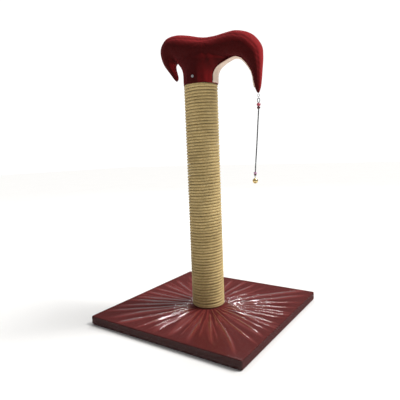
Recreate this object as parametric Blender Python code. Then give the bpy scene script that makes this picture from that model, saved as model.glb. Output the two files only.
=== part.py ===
"""Cat scratching post: a covered square base, a rope-wound post, a stuffed two-horned topper and a hanging toy."""

import math

import bmesh
import bpy
from mathutils import Matrix, Vector

MM = 0.001
GAP = 0.3 * MM  # between pieces that touch

# Base
BASE_SIDE = 400 * MM  # outside of the fabric cover
BOARD_THICK = 18 * MM
FABRIC_THICK = 1.2 * MM
FILM_THICK = 0.3 * MM
HEM_WIDTH = 30 * MM  # fabric turned under the board
FILM_LIFT = 3 * MM  # from the floor to the film's lower edge
HEM_STAPLES_PER_SIDE = 2

# Post
TUBE_RADIUS = 31.5 * MM
TUBE_WALL = 4 * MM
ROPE_THICK = 7.8 * MM
ROPE_LENGTH_UP = 529 * MM  # height of the wound part
TUBE_STUB = 39 * MM  # bare tube above the rope, inside the topper's neck
PLUG_THICK = 30 * MM
PIN_LENGTH = 12 * MM
PIN_RADIUS = 0.8 * MM
PINS_PER_PLUG = 3

# Bolt through the base
BOLT_RADIUS = 4 * MM
BOLT_HEAD_RADIUS = 7.5 * MM
BOLT_HEAD_THICK = 5.3 * MM
BOLT_TAIL = 6 * MM  # thread past the tee nut
WASHER_RADIUS = 12 * MM
WASHER_THICK = 1.6 * MM
TEE_FLANGE_RADIUS = 11 * MM
TEE_FLANGE_THICK = 1.5 * MM
TEE_BARREL_RADIUS = 5.6 * MM
TEE_BARREL_LENGTH = 10 * MM

# Topper
TOPPER_TURN = math.radians(14)  # about the post, from the base's sides
NECK_RADIUS = 40.5 * MM
CORE_THICK = 12 * MM
CORE_INSET = 12 * MM  # padding between the core's edge and the cover
CORE_LEAST = 3.2 * MM
LEAST_HALF = 0.7 * MM  # half size of a tip once it is drawn in
CORE_FOOT = 44 * MM  # width of the core where it stands on the plug
LINING_WIDTH = 40 * MM
LINING_THICK = 1.2 * MM
LINING_START = 14  # the first of the horns' sections past the neck
CORE_SCREW_RADIUS = 2 * MM
CORE_SCREW_SPACING = 26 * MM
CORE_SCREW_LENGTH = 52 * MM
TACK_HEIGHT = 12.5 * MM  # above the neck's lower rim
FRONT_TACK_TURN = math.radians(-6)  # from the middle of the front
TACK_HEAD_RADIUS = 3.2 * MM
TACK_HEAD_THICK = 1.4 * MM
TACK_RADIUS = 1 * MM
TACK_LENGTH = 22 * MM

# Hanging toy
EYE_WIRE = 0.6 * MM
EYE_RADIUS = 2.8 * MM
EYE_SHANK = 13 * MM
RING_WIRE = 0.45 * MM
RING_RADIUS = 2.9 * MM
LOOP_CORD = 0.8 * MM
LOOP_WIDTH = 7 * MM
LOOP_HEIGHT = 9 * MM
CORD_RADIUS = 1.5 * MM
BELL_RADIUS = 6.4 * MM
BELL_WALL = 0.5 * MM
BELL_SLOT = 1.4 * MM
LINK_RADIUS = 1.4 * MM
PELLET_RADIUS = 2.2 * MM

# Heights that follow from the sizes above
BOARD_BOTTOM = FABRIC_THICK + GAP
BOARD_TOP = BOARD_BOTTOM + BOARD_THICK
COVER_TOP = BOARD_TOP + GAP + FABRIC_THICK
FILM_TOP = COVER_TOP + GAP + FILM_THICK
POST_FOOT = FILM_TOP + GAP
ROPE_TOP = POST_FOOT + ROPE_LENGTH_UP
NECK_RIM = ROPE_TOP + GAP
TUBE_TOP = ROPE_TOP + TUBE_STUB
TUBE_BORE = TUBE_RADIUS - TUBE_WALL
ROPE_RADIUS = TUBE_RADIUS + GAP + ROPE_THICK

# The topper's horns, from the short one's tip over to the long one's: the outline's outer point and its
# inner point, each as sideways place and height above the neck's rim, and the half depth, in millimetres.
HORN_LINE = (
    (-61.0, 11.0, -57.5, 13.0, 2.6),
    (-67.5, 18.0, -54.6, 18.5, 8.0),
    (-74.8, 29.0, -56.5, 29.0, 12.0),
    (-83.3, 41.5, -60.2, 40.0, 17.0),
    (-88.5, 49.5, -61.8, 51.0, 22.0),
    (-94.2, 64.0, -58.5, 55.0, 27.0),
    (-96.0, 80.5, -55.5, 58.5, 30.0),
    (-90.8, 97.0, -53.5, 58.0, 33.0),
    (-75.5, 112.3, -51.0, 55.5, 36.0),
    (-49.7, 115.8, -46.5, 51.0, 38.0),
    (-22.5, 110.0, -30.0, 48.0, 39.0),
    (11.6, 101.0, 8.0, 46.0, 39.5),
    (39.7, 100.3, 38.0, 46.0, 39.5),
    (63.0, 104.0, 62.0, 49.5, 38.5),
    (87.5, 108.0, 82.0, 51.0, 36.0),
    (113.5, 102.2, 97.0, 48.5, 33.0),
    (132.3, 90.0, 104.5, 41.5, 30.0),
    (146.5, 69.5, 111.0, 33.0, 27.0),
    (148.0, 49.5, 116.5, 24.0, 24.0),
    (147.3, 33.0, 120.7, 15.0, 20.0),
    (146.0, 17.0, 123.6, 4.0, 17.0),
    (144.7, 0.0, 124.7, -8.0, 14.0),
    (142.7, -16.0, 126.9, -18.0, 10.5),
    (140.0, -26.0, 130.0, -27.0, 6.5),
    (137.3, -32.0, 133.5, -33.0, 2.5),
)
# The neck, from its rim upwards: height above the rim, middle, half width and half depth, in millimetres.
NECK_LINE = (
    (0.0, 0.0, 40.5, 40.5),
    (22.0, 0.5, 41.5, 40.3),
    (35.0, 3.5, 47.5, 39.8),
    (45.0, 6.5, 56.0, 39.2),
    (54.0, 8.0, 63.0, 38.4),
    (76.0, 8.0, 63.0, 30.0),
)
# The cord's own route below the beads: sideways place and height above the neck's rim, in millimetres.
CORD_ROUTE = (
    (135.4, -54.0), (135.2, -64.0), (134.7, -73.0), (134.0, -82.0), (133.2, -92.0), (132.5, -102.0),
    (131.8, -112.0), (131.1, -122.0), (130.4, -132.0), (129.7, -142.0), (128.9, -152.0), (128.1, -162.0),
    (127.3, -172.0), (126.5, -182.0), (125.7, -192.0), (125.0, -202.0), (124.5, -210.0), (124.2, -215.0),
)


def clear_scene():
    for found in list(bpy.data.objects):
        bpy.data.objects.remove(found, do_unlink=True)


def material(name, colour, roughness, metallic=0.0):
    made = bpy.data.materials.new(name)
    made.use_nodes = True
    shader = made.node_tree.nodes["Principled BSDF"]
    shader.inputs["Base Color"].default_value = (*colour, 1.0)
    shader.inputs["Roughness"].default_value = roughness
    shader.inputs["Metallic"].default_value = metallic
    made.diffuse_color = (*colour, 1.0)
    return made


def add(name, bm, finish=None, parent=None, helper=False):
    """A mesh object from bm; a helper is only a cutter or a guide."""
    bmesh.ops.recalc_face_normals(bm, faces=bm.faces[:])
    mesh = bpy.data.meshes.new(name)
    bm.to_mesh(mesh)
    bm.free()
    made = bpy.data.objects.new(name, mesh)
    bpy.context.scene.collection.objects.link(made)
    made.parent = parent
    if finish:
        mesh.materials.append(finish)
        mesh.shade_smooth()
        mesh.set_sharp_from_angle(angle=math.radians(35))
    if helper:
        made.hide_render = True
        made.display_type = "WIRE"
    return made


def boolean(target, tool, operation="DIFFERENCE"):
    step = target.modifiers.new(operation.title() + "_" + tool.name, "BOOLEAN")
    step.operation = operation
    step.object = tool
    step.solver = "EXACT"


def box(low, high):
    bm = bmesh.new()
    centre = (Vector(low) + Vector(high)) / 2
    size = Vector(high) - Vector(low)
    bmesh.ops.create_cube(bm, size=1.0, matrix=Matrix.Translation(centre) @ Matrix.Diagonal((*size, 1.0)))
    return bm


def rod(radius, start, end, sides=16):
    """A cylinder between two points."""
    bm = bmesh.new()
    start, end = Vector(start), Vector(end)
    turn = (end - start).to_track_quat("Z", "Y").to_matrix().to_4x4()
    bmesh.ops.create_cone(
        bm, cap_ends=True, segments=sides, radius1=radius, radius2=radius,
        depth=(end - start).length, matrix=Matrix.Translation((start + end) / 2) @ turn,
    )
    return bm


def turned(profile, sides=48):
    """A solid turned about Z from a closed profile of (radius, height) points."""
    bm = bmesh.new()
    corners = [bm.verts.new((radius, 0, height)) for radius, height in profile]
    rim = [bm.edges.new((a, b)) for a, b in zip(corners, corners[1:] + corners[:1])]
    bmesh.ops.spin(
        bm, geom=corners + rim, cent=(0, 0, 0), axis=(0, 0, 1), angle=math.tau,
        steps=sides, use_merge=True, use_duplicate=False,
    )
    bmesh.ops.remove_doubles(bm, verts=bm.verts[:], dist=1e-7)
    return bm


def ring(centre, axis, radius, wire, sides=20, wire_sides=8):
    """A torus about axis."""
    bm = bmesh.new()
    axis = Vector(axis).normalized()
    across = axis.orthogonal().normalized()
    other = axis.cross(across)
    rows = []
    for i in range(sides):
        out = across * math.cos(math.tau * i / sides) + other * math.sin(math.tau * i / sides)
        rows.append([
            bm.verts.new(Vector(centre) + out * (radius + wire * math.cos(math.tau * k / wire_sides))
                         + axis * wire * math.sin(math.tau * k / wire_sides))
            for k in range(wire_sides)
        ])
    join_rows(bm, rows, closed=True)
    return bm


def join_rows(bm, rows, closed=False):
    for i in range(len(rows) if closed else len(rows) - 1):
        one, two = rows[i], rows[(i + 1) % len(rows)]
        for k in range(len(one)):
            j = (k + 1) % len(one)
            bm.faces.new((one[k], one[j], two[j]))
            bm.faces.new((one[k], two[j], two[k]))


def loft(sections):
    """A closed solid through rings of points."""
    bm = bmesh.new()
    rows = [[bm.verts.new(point) for point in section] for section in sections]
    join_rows(bm, rows)
    bm.faces.new(rows[0])
    bm.faces.new(rows[-1])
    return bm


def horn_place(entry):
    """The middle of a section, the way across it from its inner to its outer point, and its half sizes."""
    outer, inner = Vector(entry[:2]) * MM, Vector(entry[2:4]) * MM
    across = outer - inner
    return (outer + inner) / 2, across.normalized(), across.length / 2, entry[4] * MM


def horn_sections(inset, sides=14):
    """Oval rings across the horns, each shrunk by inset, with the two tips drawn in as far."""
    sections = []
    last = len(HORN_LINE) - 1
    for i, entry in enumerate(HORN_LINE):
        middle, across, half, depth = horn_place(entry)
        along = Vector((across.y, -across.x)) * (inset if i == 0 else -inset if i == last else 0)
        half = max(half - inset, LEAST_HALF)
        depth = max(depth - inset, LEAST_HALF)
        section = []
        for k in range(sides):
            angle = math.tau * k / sides
            flat = middle + along + across * half * math.cos(angle)
            section.append((flat.x, depth * math.sin(angle), NECK_RIM + flat.y))
        sections.append(section)
    return sections


def neck_sections(inset, drop=0.0, sides=28):
    """Level rings of the neck, shrunk by inset; drop carries the lowest ring further down."""
    sections = []
    for i, (height, middle, half, depth) in enumerate(NECK_LINE):
        low = drop if i == 0 else 0.0
        section = []
        for k in range(sides):
            angle = math.tau * k / sides
            section.append((
                middle * MM + (half * MM - inset) * math.cos(angle),
                (depth * MM - inset) * math.sin(angle),
                NECK_RIM + height * MM - low,
            ))
        sections.append(section)
    return sections


def bar_sections(keep, half_thick):
    """Square rings along the horns, all but the tips, reaching keep(half width) to each side of the middle."""
    sections = []
    for entry in HORN_LINE[2:-2]:
        middle, across, half, _ = horn_place(entry)
        section = []
        for far, depth in ((1, 1), (1, -1), (-1, -1), (-1, 1)):
            flat = middle + across * keep(half) * far
            section.append((flat.x, half_thick * depth, NECK_RIM + flat.y))
        sections.append(section)
    return sections


def base(finish):
    half = BASE_SIDE / 2
    board_half = half - FABRIC_THICK - GAP
    board = add("base_board", box((-board_half, -board_half, BOARD_BOTTOM), (board_half, board_half, BOARD_TOP)),
                finish["board"])
    cover = add("base_cover", box((-half, -half, 0), (half, half, COVER_TOP)), finish["velour"])
    room = board_half + GAP
    boolean(cover, add("board_room", box((-room, -room, FABRIC_THICK), (room, room, BOARD_TOP + GAP)), helper=True))
    hem = room - HEM_WIDTH
    boolean(cover, add("hem_opening", box((-hem, -hem, -BOARD_THICK), (hem, hem, BOARD_THICK)), helper=True))
    film_half = half + GAP + FILM_THICK
    film = add("base_film", box((-film_half, -film_half, FILM_LIFT), (film_half, film_half, FILM_TOP)),
               finish["film"])
    film_room = half + GAP
    boolean(film, add("cover_room", box((-film_room, -film_room, -BOARD_THICK), (film_room, film_room, COVER_TOP + GAP)),
                      helper=True))
    shaft_hole = add("shaft_hole", rod(BOLT_RADIUS + GAP, (0, 0, -BOARD_THICK), (0, 0, 2 * BOARD_THICK), 24), helper=True)
    for piece in (board, cover, film):
        boolean(piece, shaft_hole)
    recess = BOLT_HEAD_THICK + WASHER_THICK + 2 * GAP
    boolean(board, add("head_recess", rod(WASHER_RADIUS + GAP, (0, 0, 0), (0, 0, BOARD_BOTTOM + recess), 24), helper=True))
    hem_staples(finish, cover, board, half)


def hem_staples(finish, cover, board, half):
    """U-shaped staples that hold the turned-under hem, their crowns flush with the fabric."""
    wire, width, leg = 0.6 * MM, 10 * MM, 8 * MM
    in_from_side = FABRIC_THICK + GAP + HEM_WIDTH / 2
    count = 0
    for turn in range(4):
        spin = Matrix.Rotation(turn * math.pi / 2, 4, "Z")
        for k in range(HEM_STAPLES_PER_SIDE):
            across = BASE_SIDE * ((k + 0.5) / HEM_STAPLES_PER_SIDE - 0.5)
            count += 1
            for slack in (0.0, GAP):
                name = f"hem_staple_{count}" if not slack else f"staple_slot_{count}"
                bm = bmesh.new()
                low = 0.2 * MM if not slack else -GAP
                top = low + wire if not slack else 0.2 * MM + wire + GAP
                corners = [
                    (-width / 2 - slack, low), (width / 2 + slack, low), (width / 2 + slack, leg + slack),
                    (width / 2 - wire - slack, leg + slack), (width / 2 - wire - slack, top),
                    (-width / 2 + wire + slack, top), (-width / 2 + wire + slack, leg + slack),
                    (-width / 2 - slack, leg + slack),
                ]
                near = in_from_side - half - wire / 2 - slack
                outline = [bm.verts.new((across + x, near, z)) for x, z in corners]
                face = bm.faces.new(outline)
                grown = bmesh.ops.extrude_face_region(bm, geom=[face])
                moved = [v for v in grown["geom"] if isinstance(v, bmesh.types.BMVert)]
                bmesh.ops.translate(bm, verts=moved, vec=(0, wire + 2 * slack, 0))
                bmesh.ops.transform(bm, matrix=spin, verts=bm.verts[:])
                made = add(name, bm, None if slack else finish["steel"], helper=bool(slack))
                if slack:
                    boolean(cover, made)
                    boolean(board, made)


def base_bolt(finish):
    head_low = BOARD_BOTTOM + GAP
    washer_low = head_low + BOLT_HEAD_THICK + GAP
    nut_top = POST_FOOT + GAP + PLUG_THICK + GAP + TEE_FLANGE_THICK
    bolt = add("base_bolt", rod(BOLT_HEAD_RADIUS, (0, 0, head_low), (0, 0, head_low + BOLT_HEAD_THICK), 6),
               finish["steel"])
    boolean(bolt, add("bolt_shank", rod(BOLT_RADIUS, (0, 0, head_low + BOLT_HEAD_THICK / 2),
                                        (0, 0, nut_top + BOLT_TAIL), 24), helper=True), "UNION")
    hole = BOLT_RADIUS + GAP
    add("base_washer", turned(((hole, washer_low), (WASHER_RADIUS, washer_low),
                               (WASHER_RADIUS, washer_low + WASHER_THICK), (hole, washer_low + WASHER_THICK)), 24),
        finish["steel"])
    flange_low = nut_top - TEE_FLANGE_THICK
    add("tee_nut", turned(((hole, flange_low - TEE_BARREL_LENGTH), (TEE_BARREL_RADIUS, flange_low - TEE_BARREL_LENGTH),
                           (TEE_BARREL_RADIUS, flange_low), (TEE_FLANGE_RADIUS, flange_low),
                           (TEE_FLANGE_RADIUS, nut_top), (hole, nut_top)), 24), finish["steel"])
    return flange_low


def post(finish, flange_low):
    tube = add("post_tube", turned(((TUBE_BORE, POST_FOOT), (TUBE_RADIUS, POST_FOOT),
                                    (TUBE_RADIUS, TUBE_TOP), (TUBE_BORE, TUBE_TOP))), finish["card"])
    rope = add("rope_wrap", turned(((TUBE_RADIUS + GAP, POST_FOOT), (ROPE_RADIUS, POST_FOOT),
                                    (ROPE_RADIUS, ROPE_TOP), (TUBE_RADIUS + GAP, ROPE_TOP))), finish["sisal"])
    plug_radius = TUBE_BORE - GAP
    plugs = []
    for name, low in (("lower_plug", POST_FOOT + GAP), ("upper_plug", TUBE_TOP - PLUG_THICK)):
        plug = add(name, rod(plug_radius, (0, 0, low), (0, 0, low + PLUG_THICK), 40), finish["wood"])
        plugs.append(plug)
        plug_pins(name, low + PLUG_THICK / 2, finish, (plug, tube))
    boolean(plugs[0], add("nut_bore", rod(TEE_BARREL_RADIUS + GAP, (0, 0, flange_low - TEE_BARREL_LENGTH - GAP),
                                          (0, 0, flange_low + PLUG_THICK), 24), helper=True))
    boolean(plugs[0], add("plug_bolt_hole", rod(BOLT_RADIUS + GAP, (0, 0, 0), (0, 0, flange_low + PLUG_THICK), 24),
                          helper=True))
    rope_tacks(finish, rope, tube)
    return tube, plugs[1]


def plug_pins(name, height, finish, drilled):
    """Headless pins driven in through the tube's wall, level with its outside."""
    for k in range(PINS_PER_PLUG):
        angle = math.tau * (k + 0.5) / PINS_PER_PLUG
        out = Vector((math.cos(angle), math.sin(angle), 0))
        lift = Vector((0, 0, height))
        tip = TUBE_RADIUS - 2 * GAP
        add(f"{name}_pin_{k + 1}", rod(PIN_RADIUS, lift + out * (tip - PIN_LENGTH), lift + out * tip, 8),
            finish["steel"])
        hole = add(f"{name}_pin_hole_{k + 1}", rod(PIN_RADIUS + GAP, lift + out * (tip - PIN_LENGTH - GAP),
                                                   lift + out * (TUBE_RADIUS + GAP), 8), helper=True)
        for piece in drilled:
            boolean(piece, hole)


def tack(name, foot, out, head_at, length, finish, drilled):
    """A flat-headed tack: out is the way that it faces, head_at how far out its head's underside lies."""
    foot, out = Vector(foot), Vector(out)
    made = add(name, rod(TACK_HEAD_RADIUS, foot + out * (head_at + GAP), foot + out * (head_at + GAP + TACK_HEAD_THICK)),
               finish["steel"])
    shank = add(name + "_shank", rod(TACK_RADIUS, foot + out * (head_at - length),
                                     foot + out * (head_at + GAP + TACK_HEAD_THICK / 2), 10), helper=True)
    boolean(made, shank, "UNION")
    hole = add(name + "_hole", rod(TACK_RADIUS + GAP, foot + out * (head_at - length - GAP),
                                   foot + out * (head_at + 10 * MM), 10), helper=True)
    for piece in drilled:
        boolean(piece, hole)


def rope_tacks(finish, rope, tube):
    """One tack through each end of the winding, at the back of the post."""
    back = Matrix.Rotation(TOPPER_TURN, 3, "Z") @ Vector((0, 1, 0))
    for name, height in (("rope_tack_lower", POST_FOOT + ROPE_THICK / 2), ("rope_tack_upper", ROPE_TOP - ROPE_THICK / 2)):
        tack(name, (0, 0, height), back, ROPE_RADIUS, ROPE_THICK + TUBE_WALL - GAP, finish, (rope, tube))


def topper(finish, tube, plug):
    frame = bpy.data.objects.new("topper_frame", None)
    bpy.context.scene.collection.objects.link(frame)
    frame.rotation_euler.z = TOPPER_TURN
    cover_inside = FABRIC_THICK
    pad_outside = FABRIC_THICK + 2 * GAP
    cover = add("topper_cover", loft(horn_sections(0)), finish["velour"], frame)
    boolean(cover, add("neck_outside", loft(neck_sections(0)), parent=frame, helper=True), "UNION")
    boolean(cover, add("horns_inside", loft(horn_sections(cover_inside)), parent=frame, helper=True))
    boolean(cover, add("neck_inside", loft(neck_sections(cover_inside, drop=NECK_RADIUS)), parent=frame, helper=True))
    padding = add("topper_padding", loft(horn_sections(pad_outside)), finish["wadding"], frame)
    boolean(padding, add("neck_padding", loft(neck_sections(pad_outside)), parent=frame, helper=True), "UNION")
    core = add("topper_core", loft(bar_sections(core_reach, CORE_THICK / 2)), finish["ply"], frame)
    foot_low = TUBE_TOP + GAP
    foot_high = NECK_RIM + NECK_LINE[-1][0] * MM
    boolean(core, add("core_foot", box((-CORE_FOOT / 2, -CORE_THICK / 2, foot_low),
                                       (CORE_FOOT / 2, CORE_THICK / 2, foot_high)), parent=frame, helper=True), "UNION")
    slot = add("core_slot", loft(bar_sections(slot_reach, CORE_THICK / 2 + GAP)), parent=frame, helper=True)
    boolean(padding, slot)
    boolean(padding, add("foot_slot", box((-CORE_FOOT / 2 - GAP, -CORE_THICK / 2 - GAP, foot_low - 2 * GAP),
                                          (CORE_FOOT / 2 + GAP, CORE_THICK / 2 + GAP, foot_high + GAP)),
                         parent=frame, helper=True))
    boolean(padding, add("tube_room", rod(TUBE_RADIUS + GAP, (0, 0, NECK_RIM - NECK_RADIUS), (0, 0, TUBE_TOP + GAP), 40),
                         helper=True))
    for name, turn in (("cover_tack_front", FRONT_TACK_TURN), ("cover_tack_back", math.pi)):
        out = Matrix.Rotation(TOPPER_TURN + turn, 3, "Z") @ Vector((0, -1, 0))
        tack(name, (0, 0, NECK_RIM + TACK_HEIGHT), out, NECK_RADIUS, TACK_LENGTH, finish, (cover, padding, tube, plug))
    core_screws(finish, plug, core, frame)
    lining(finish, frame)
    return frame, cover, padding, core


def core_reach(half):
    return max(half - CORE_INSET, CORE_LEAST)


def slot_reach(half):
    return core_reach(half) + GAP


def core_screws(finish, plug, core, frame):
    """Two screws up through the plug into the core's foot."""
    low = TUBE_TOP - PLUG_THICK - 2.2 * MM
    for k, side in enumerate((-1, 1)):
        place = side * CORE_SCREW_SPACING / 2
        screw = add(f"core_screw_{k + 1}", rod(2 * CORE_SCREW_RADIUS, (place, 0, low), (place, 0, low + 2 * MM)),
                    finish["steel"], frame)
        boolean(screw, add(f"core_screw_shank_{k + 1}", rod(CORE_SCREW_RADIUS, (place, 0, low + MM),
                                                            (place, 0, low + CORE_SCREW_LENGTH), 12),
                           parent=frame, helper=True), "UNION")
        hole = add(f"core_screw_hole_{k + 1}", rod(CORE_SCREW_RADIUS + GAP, (place, 0, low - MM),
                                                   (place, 0, low + CORE_SCREW_LENGTH + GAP), 12),
                   parent=frame, helper=True)
        boolean(plug, hole)
        boolean(core, hole)


def lining(finish, frame):
    """The pale strip sewn along the underside of the arch between the neck and the long horn."""
    bm = bmesh.new()
    rows = []
    for place in lining_places():
        outer = lining_row(place, GAP + LINING_THICK)
        inner = lining_row(place, -3 * LINING_THICK)
        rows.append([bm.verts.new(point) for point in outer + inner[::-1]])
    join_rows(bm, rows)
    bm.faces.new(rows[0])
    bm.faces.new(rows[-1])
    strip = add("topper_lining", bm, finish["lining"], frame)
    clear = 1.5 * GAP
    boolean(strip, add("horns_room", loft(horn_sections(-clear)), parent=frame, helper=True))
    boolean(strip, add("neck_room", loft(neck_sections(-clear)), parent=frame, helper=True))


def lining_places():
    """Places under the arch from the neck over to the long horn: middle, way down, half width and half depth."""
    places = []
    for height, middle, half, depth in NECK_LINE[:4]:
        lift = MM if height == 0 else 0
        places.append((Vector((middle * MM, height * MM + lift)), Vector((1, 0)), half * MM, depth * MM))
    for entry in HORN_LINE[LINING_START:-2]:
        middle, across, half, depth = horn_place(entry)
        places.append((middle, -across, half, depth))
    return places


def lining_row(place, out, steps=6):
    """Points across the strip, lying that far out from the cover."""
    middle, way, half, depth = place
    wide = min(LINING_WIDTH / 2, 0.8 * depth)
    row = []
    for k in range(steps + 1):
        across = wide * (2 * k / steps - 1)
        flat = middle + way * (half * math.sqrt(1 - (across / depth) ** 2) + out)
        row.append((flat.x, across, NECK_RIM + flat.y))
    return row


def build_all():
    clear_scene()
    finish = {
        "board": material("chipboard", (0.48, 0.34, 0.20), 0.9),
        "velour": material("dark_red_velour", (0.13, 0.012, 0.016), 0.8),
        "film": material("clear_film", (0.42, 0.16, 0.16), 0.15),
        "card": material("grey_card", (0.45, 0.36, 0.26), 0.9),
        "sisal": material("sisal", (0.52, 0.39, 0.17), 0.85),
        "wood": material("pine", (0.62, 0.44, 0.24), 0.7),
        "ply": material("plywood", (0.60, 0.42, 0.24), 0.7),
        "wadding": material("wadding", (0.85, 0.84, 0.80), 0.95),
        "lining": material("cream_lining", (0.72, 0.60, 0.50), 0.85),
        "steel": material("steel", (0.62, 0.62, 0.64), 0.35, 1.0),
        "cord": material("black_cord", (0.03, 0.03, 0.035), 0.6),
        "red_bead": material("red_bead", (0.55, 0.10, 0.14), 0.2),
        "dark_bead": material("dark_bead", (0.10, 0.01, 0.02), 0.2),
        "lilac_bead": material("lilac_bead", (0.70, 0.42, 0.62), 0.25),
        "knot": material("brown_knot", (0.16, 0.07, 0.04), 0.7),
        "bell": material("pale_brass", (0.80, 0.66, 0.36), 0.3, 1.0),
    }
    base(finish)
    flange_low = base_bolt(finish)
    tube, plug = post(finish, flange_low)
    frame, cover, padding, core = topper(finish, tube, plug)
    toy(finish, frame, cover, padding, core)


def toy(finish, frame, cover, padding, core):
    middle, _, _, _ = horn_place(HORN_LINE[-1])
    hang, tip = middle.x, NECK_RIM + middle.y
    side_way, depth_way = Vector((1, 0, 0)), Vector((0, 1, 0))

    # Screw eye in the long horn's tip
    eye_height = tip - EYE_RADIUS - EYE_WIRE - 2 * GAP
    eye = add("tip_eye", ring((hang, 0, eye_height), depth_way, EYE_RADIUS, EYE_WIRE), finish["steel"], frame)
    shank_low, shank_high = eye_height + EYE_RADIUS, eye_height + EYE_RADIUS + EYE_SHANK
    boolean(eye, add("eye_shank", rod(EYE_WIRE, (hang, 0, shank_low), (hang, 0, shank_high), 10), parent=frame,
                     helper=True), "UNION")
    hole = add("eye_hole", rod(EYE_WIRE + GAP, (hang, 0, shank_low - 4 * EYE_WIRE), (hang, 0, shank_high + GAP), 10),
               parent=frame, helper=True)
    for piece in (cover, padding, core):
        boolean(piece, hole)

    # Ring that swings on the eye, and the cord's loop that swings on the ring
    ring_top = eye_height - EYE_RADIUS + EYE_WIRE + RING_WIRE + GAP / 2
    ring_height = ring_top - RING_RADIUS
    add("jump_ring", ring((hang, 0, ring_height), side_way, RING_RADIUS, RING_WIRE), finish["steel"], frame)
    loop_top = ring_height - RING_RADIUS + RING_WIRE + LOOP_CORD + GAP / 2
    long_ring("cord_loop", hang, loop_top, finish["cord"], frame)

    # Beads, cord and bell
    bead_top = loop_top - LOOP_HEIGHT - LOOP_CORD - GAP
    route = smooth_route(bead_top)
    add_cord(route, finish["cord"], frame)
    bead("red_bead", route, 0.2 * MM, 4.4 * MM, 7 * MM, finish["red_bead"], frame)
    bead("dark_bead", route, 7.6 * MM, 3.7 * MM, 5.6 * MM, finish["dark_bead"], frame)
    total = route_length(route)
    cap_height, lilac_height = 3.2 * MM, 4.4 * MM
    cap_start = total - cap_height - GAP
    bead("lilac_bead", route, cap_start - lilac_height - GAP, 3.9 * MM, lilac_height, finish["lilac_bead"], frame)
    bead("cap_bead", route, cap_start, 3.2 * MM, cap_height, finish["knot"], frame)
    bell(route[-1], finish, frame)


def long_ring(name, side, top, finish, frame):
    """An upright closed loop of thin cord: a half turn, two straight sides and a half turn."""
    radius = LOOP_WIDTH / 2 - LOOP_CORD
    middle = [top - radius, top - LOOP_HEIGHT + radius]
    line = []
    for end, (height, first) in enumerate(((middle[0], 0.0), (middle[1], math.pi))):
        for k in range(9):
            angle = first + math.pi * k / 8
            line.append((side + radius * math.cos(angle), height + radius * math.sin(angle), angle))
    bm = bmesh.new()
    rows = []
    for x, z, angle in line:
        out = Vector((math.cos(angle), 0, math.sin(angle)))
        rows.append([
            bm.verts.new(Vector((x, 0, z)) + out * LOOP_CORD * math.cos(math.tau * k / 8)
                         + Vector((0, LOOP_CORD * math.sin(math.tau * k / 8), 0)))
            for k in range(8)
        ])
    join_rows(bm, rows, closed=True)
    add(name, bm, finish, frame)


def smooth_route(start):
    """The cord's points, from the first bead down to the bell, 2.5 diameters apart on a smooth curve."""
    knots = [Vector((side * MM, 0, NECK_RIM + height * MM)) for side, height in CORD_ROUTE]
    knots[0].z = start
    fine = []
    for i in range(len(knots) - 1):
        a, b, c, d = (knots[min(max(i + k, 0), len(knots) - 1)] for k in (-1, 0, 1, 2))
        for step in range(4):
            t = step / 4
            fine.append(0.5 * (2 * b + (c - a) * t + (2 * a - 5 * b + 4 * c - d) * t ** 2
                               + (3 * b - a - 3 * c + d) * t ** 3))
    fine.append(knots[-1])
    count = max(2, round(route_length(fine) / (5 * CORD_RADIUS)))
    return [along(fine, route_length(fine) * k / count) for k in range(count + 1)]


def route_length(points):
    return sum((b - a).length for a, b in zip(points, points[1:]))


def along(points, distance):
    """The point that far along a line of points."""
    for a, b in zip(points, points[1:]):
        step = (b - a).length
        if distance <= step:
            return a.lerp(b, distance / step)
        distance -= step
    return points[-1].copy()


def add_cord(route, finish, frame):
    curve = bpy.data.curves.new("toy_cord", "CURVE")
    curve.dimensions = "3D"
    spline = curve.splines.new("POLY")
    spline.points.add(len(route) - 1)
    for point, place in zip(spline.points, route):
        point.co = (*place, 1)
    curve.bevel_depth = CORD_RADIUS
    curve.bevel_resolution = 2
    curve.use_fill_caps = True
    curve.materials.append(finish)
    made = bpy.data.objects.new("toy_cord", curve)
    bpy.context.scene.collection.objects.link(made)
    made.parent = frame


def bead(name, route, start, radius, height, finish, frame):
    """A round bead with a hole for the cord, start being how far along the cord its top lies."""
    top, low = along(route, start), along(route, start + height)
    centre, axis = (top + low) / 2, (top - low).normalized()
    hole = CORD_RADIUS + GAP
    profile = [(hole, -height / 2 * 0.72)]
    for k in range(9):
        angle = -math.pi / 2 * 0.8 + math.pi * 0.8 * k / 8
        profile.append((hole + 0.2 * MM + (radius - hole - 0.2 * MM) * math.cos(angle), height / 2 * math.sin(angle)))
    profile.append((hole, height / 2 * 0.72))
    bm = turned(profile, 20)
    turn = axis.to_track_quat("Z", "Y").to_matrix().to_4x4()
    bmesh.ops.transform(bm, matrix=Matrix.Translation(centre) @ turn, verts=bm.verts[:])
    add(name, bm, finish, frame)


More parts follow.
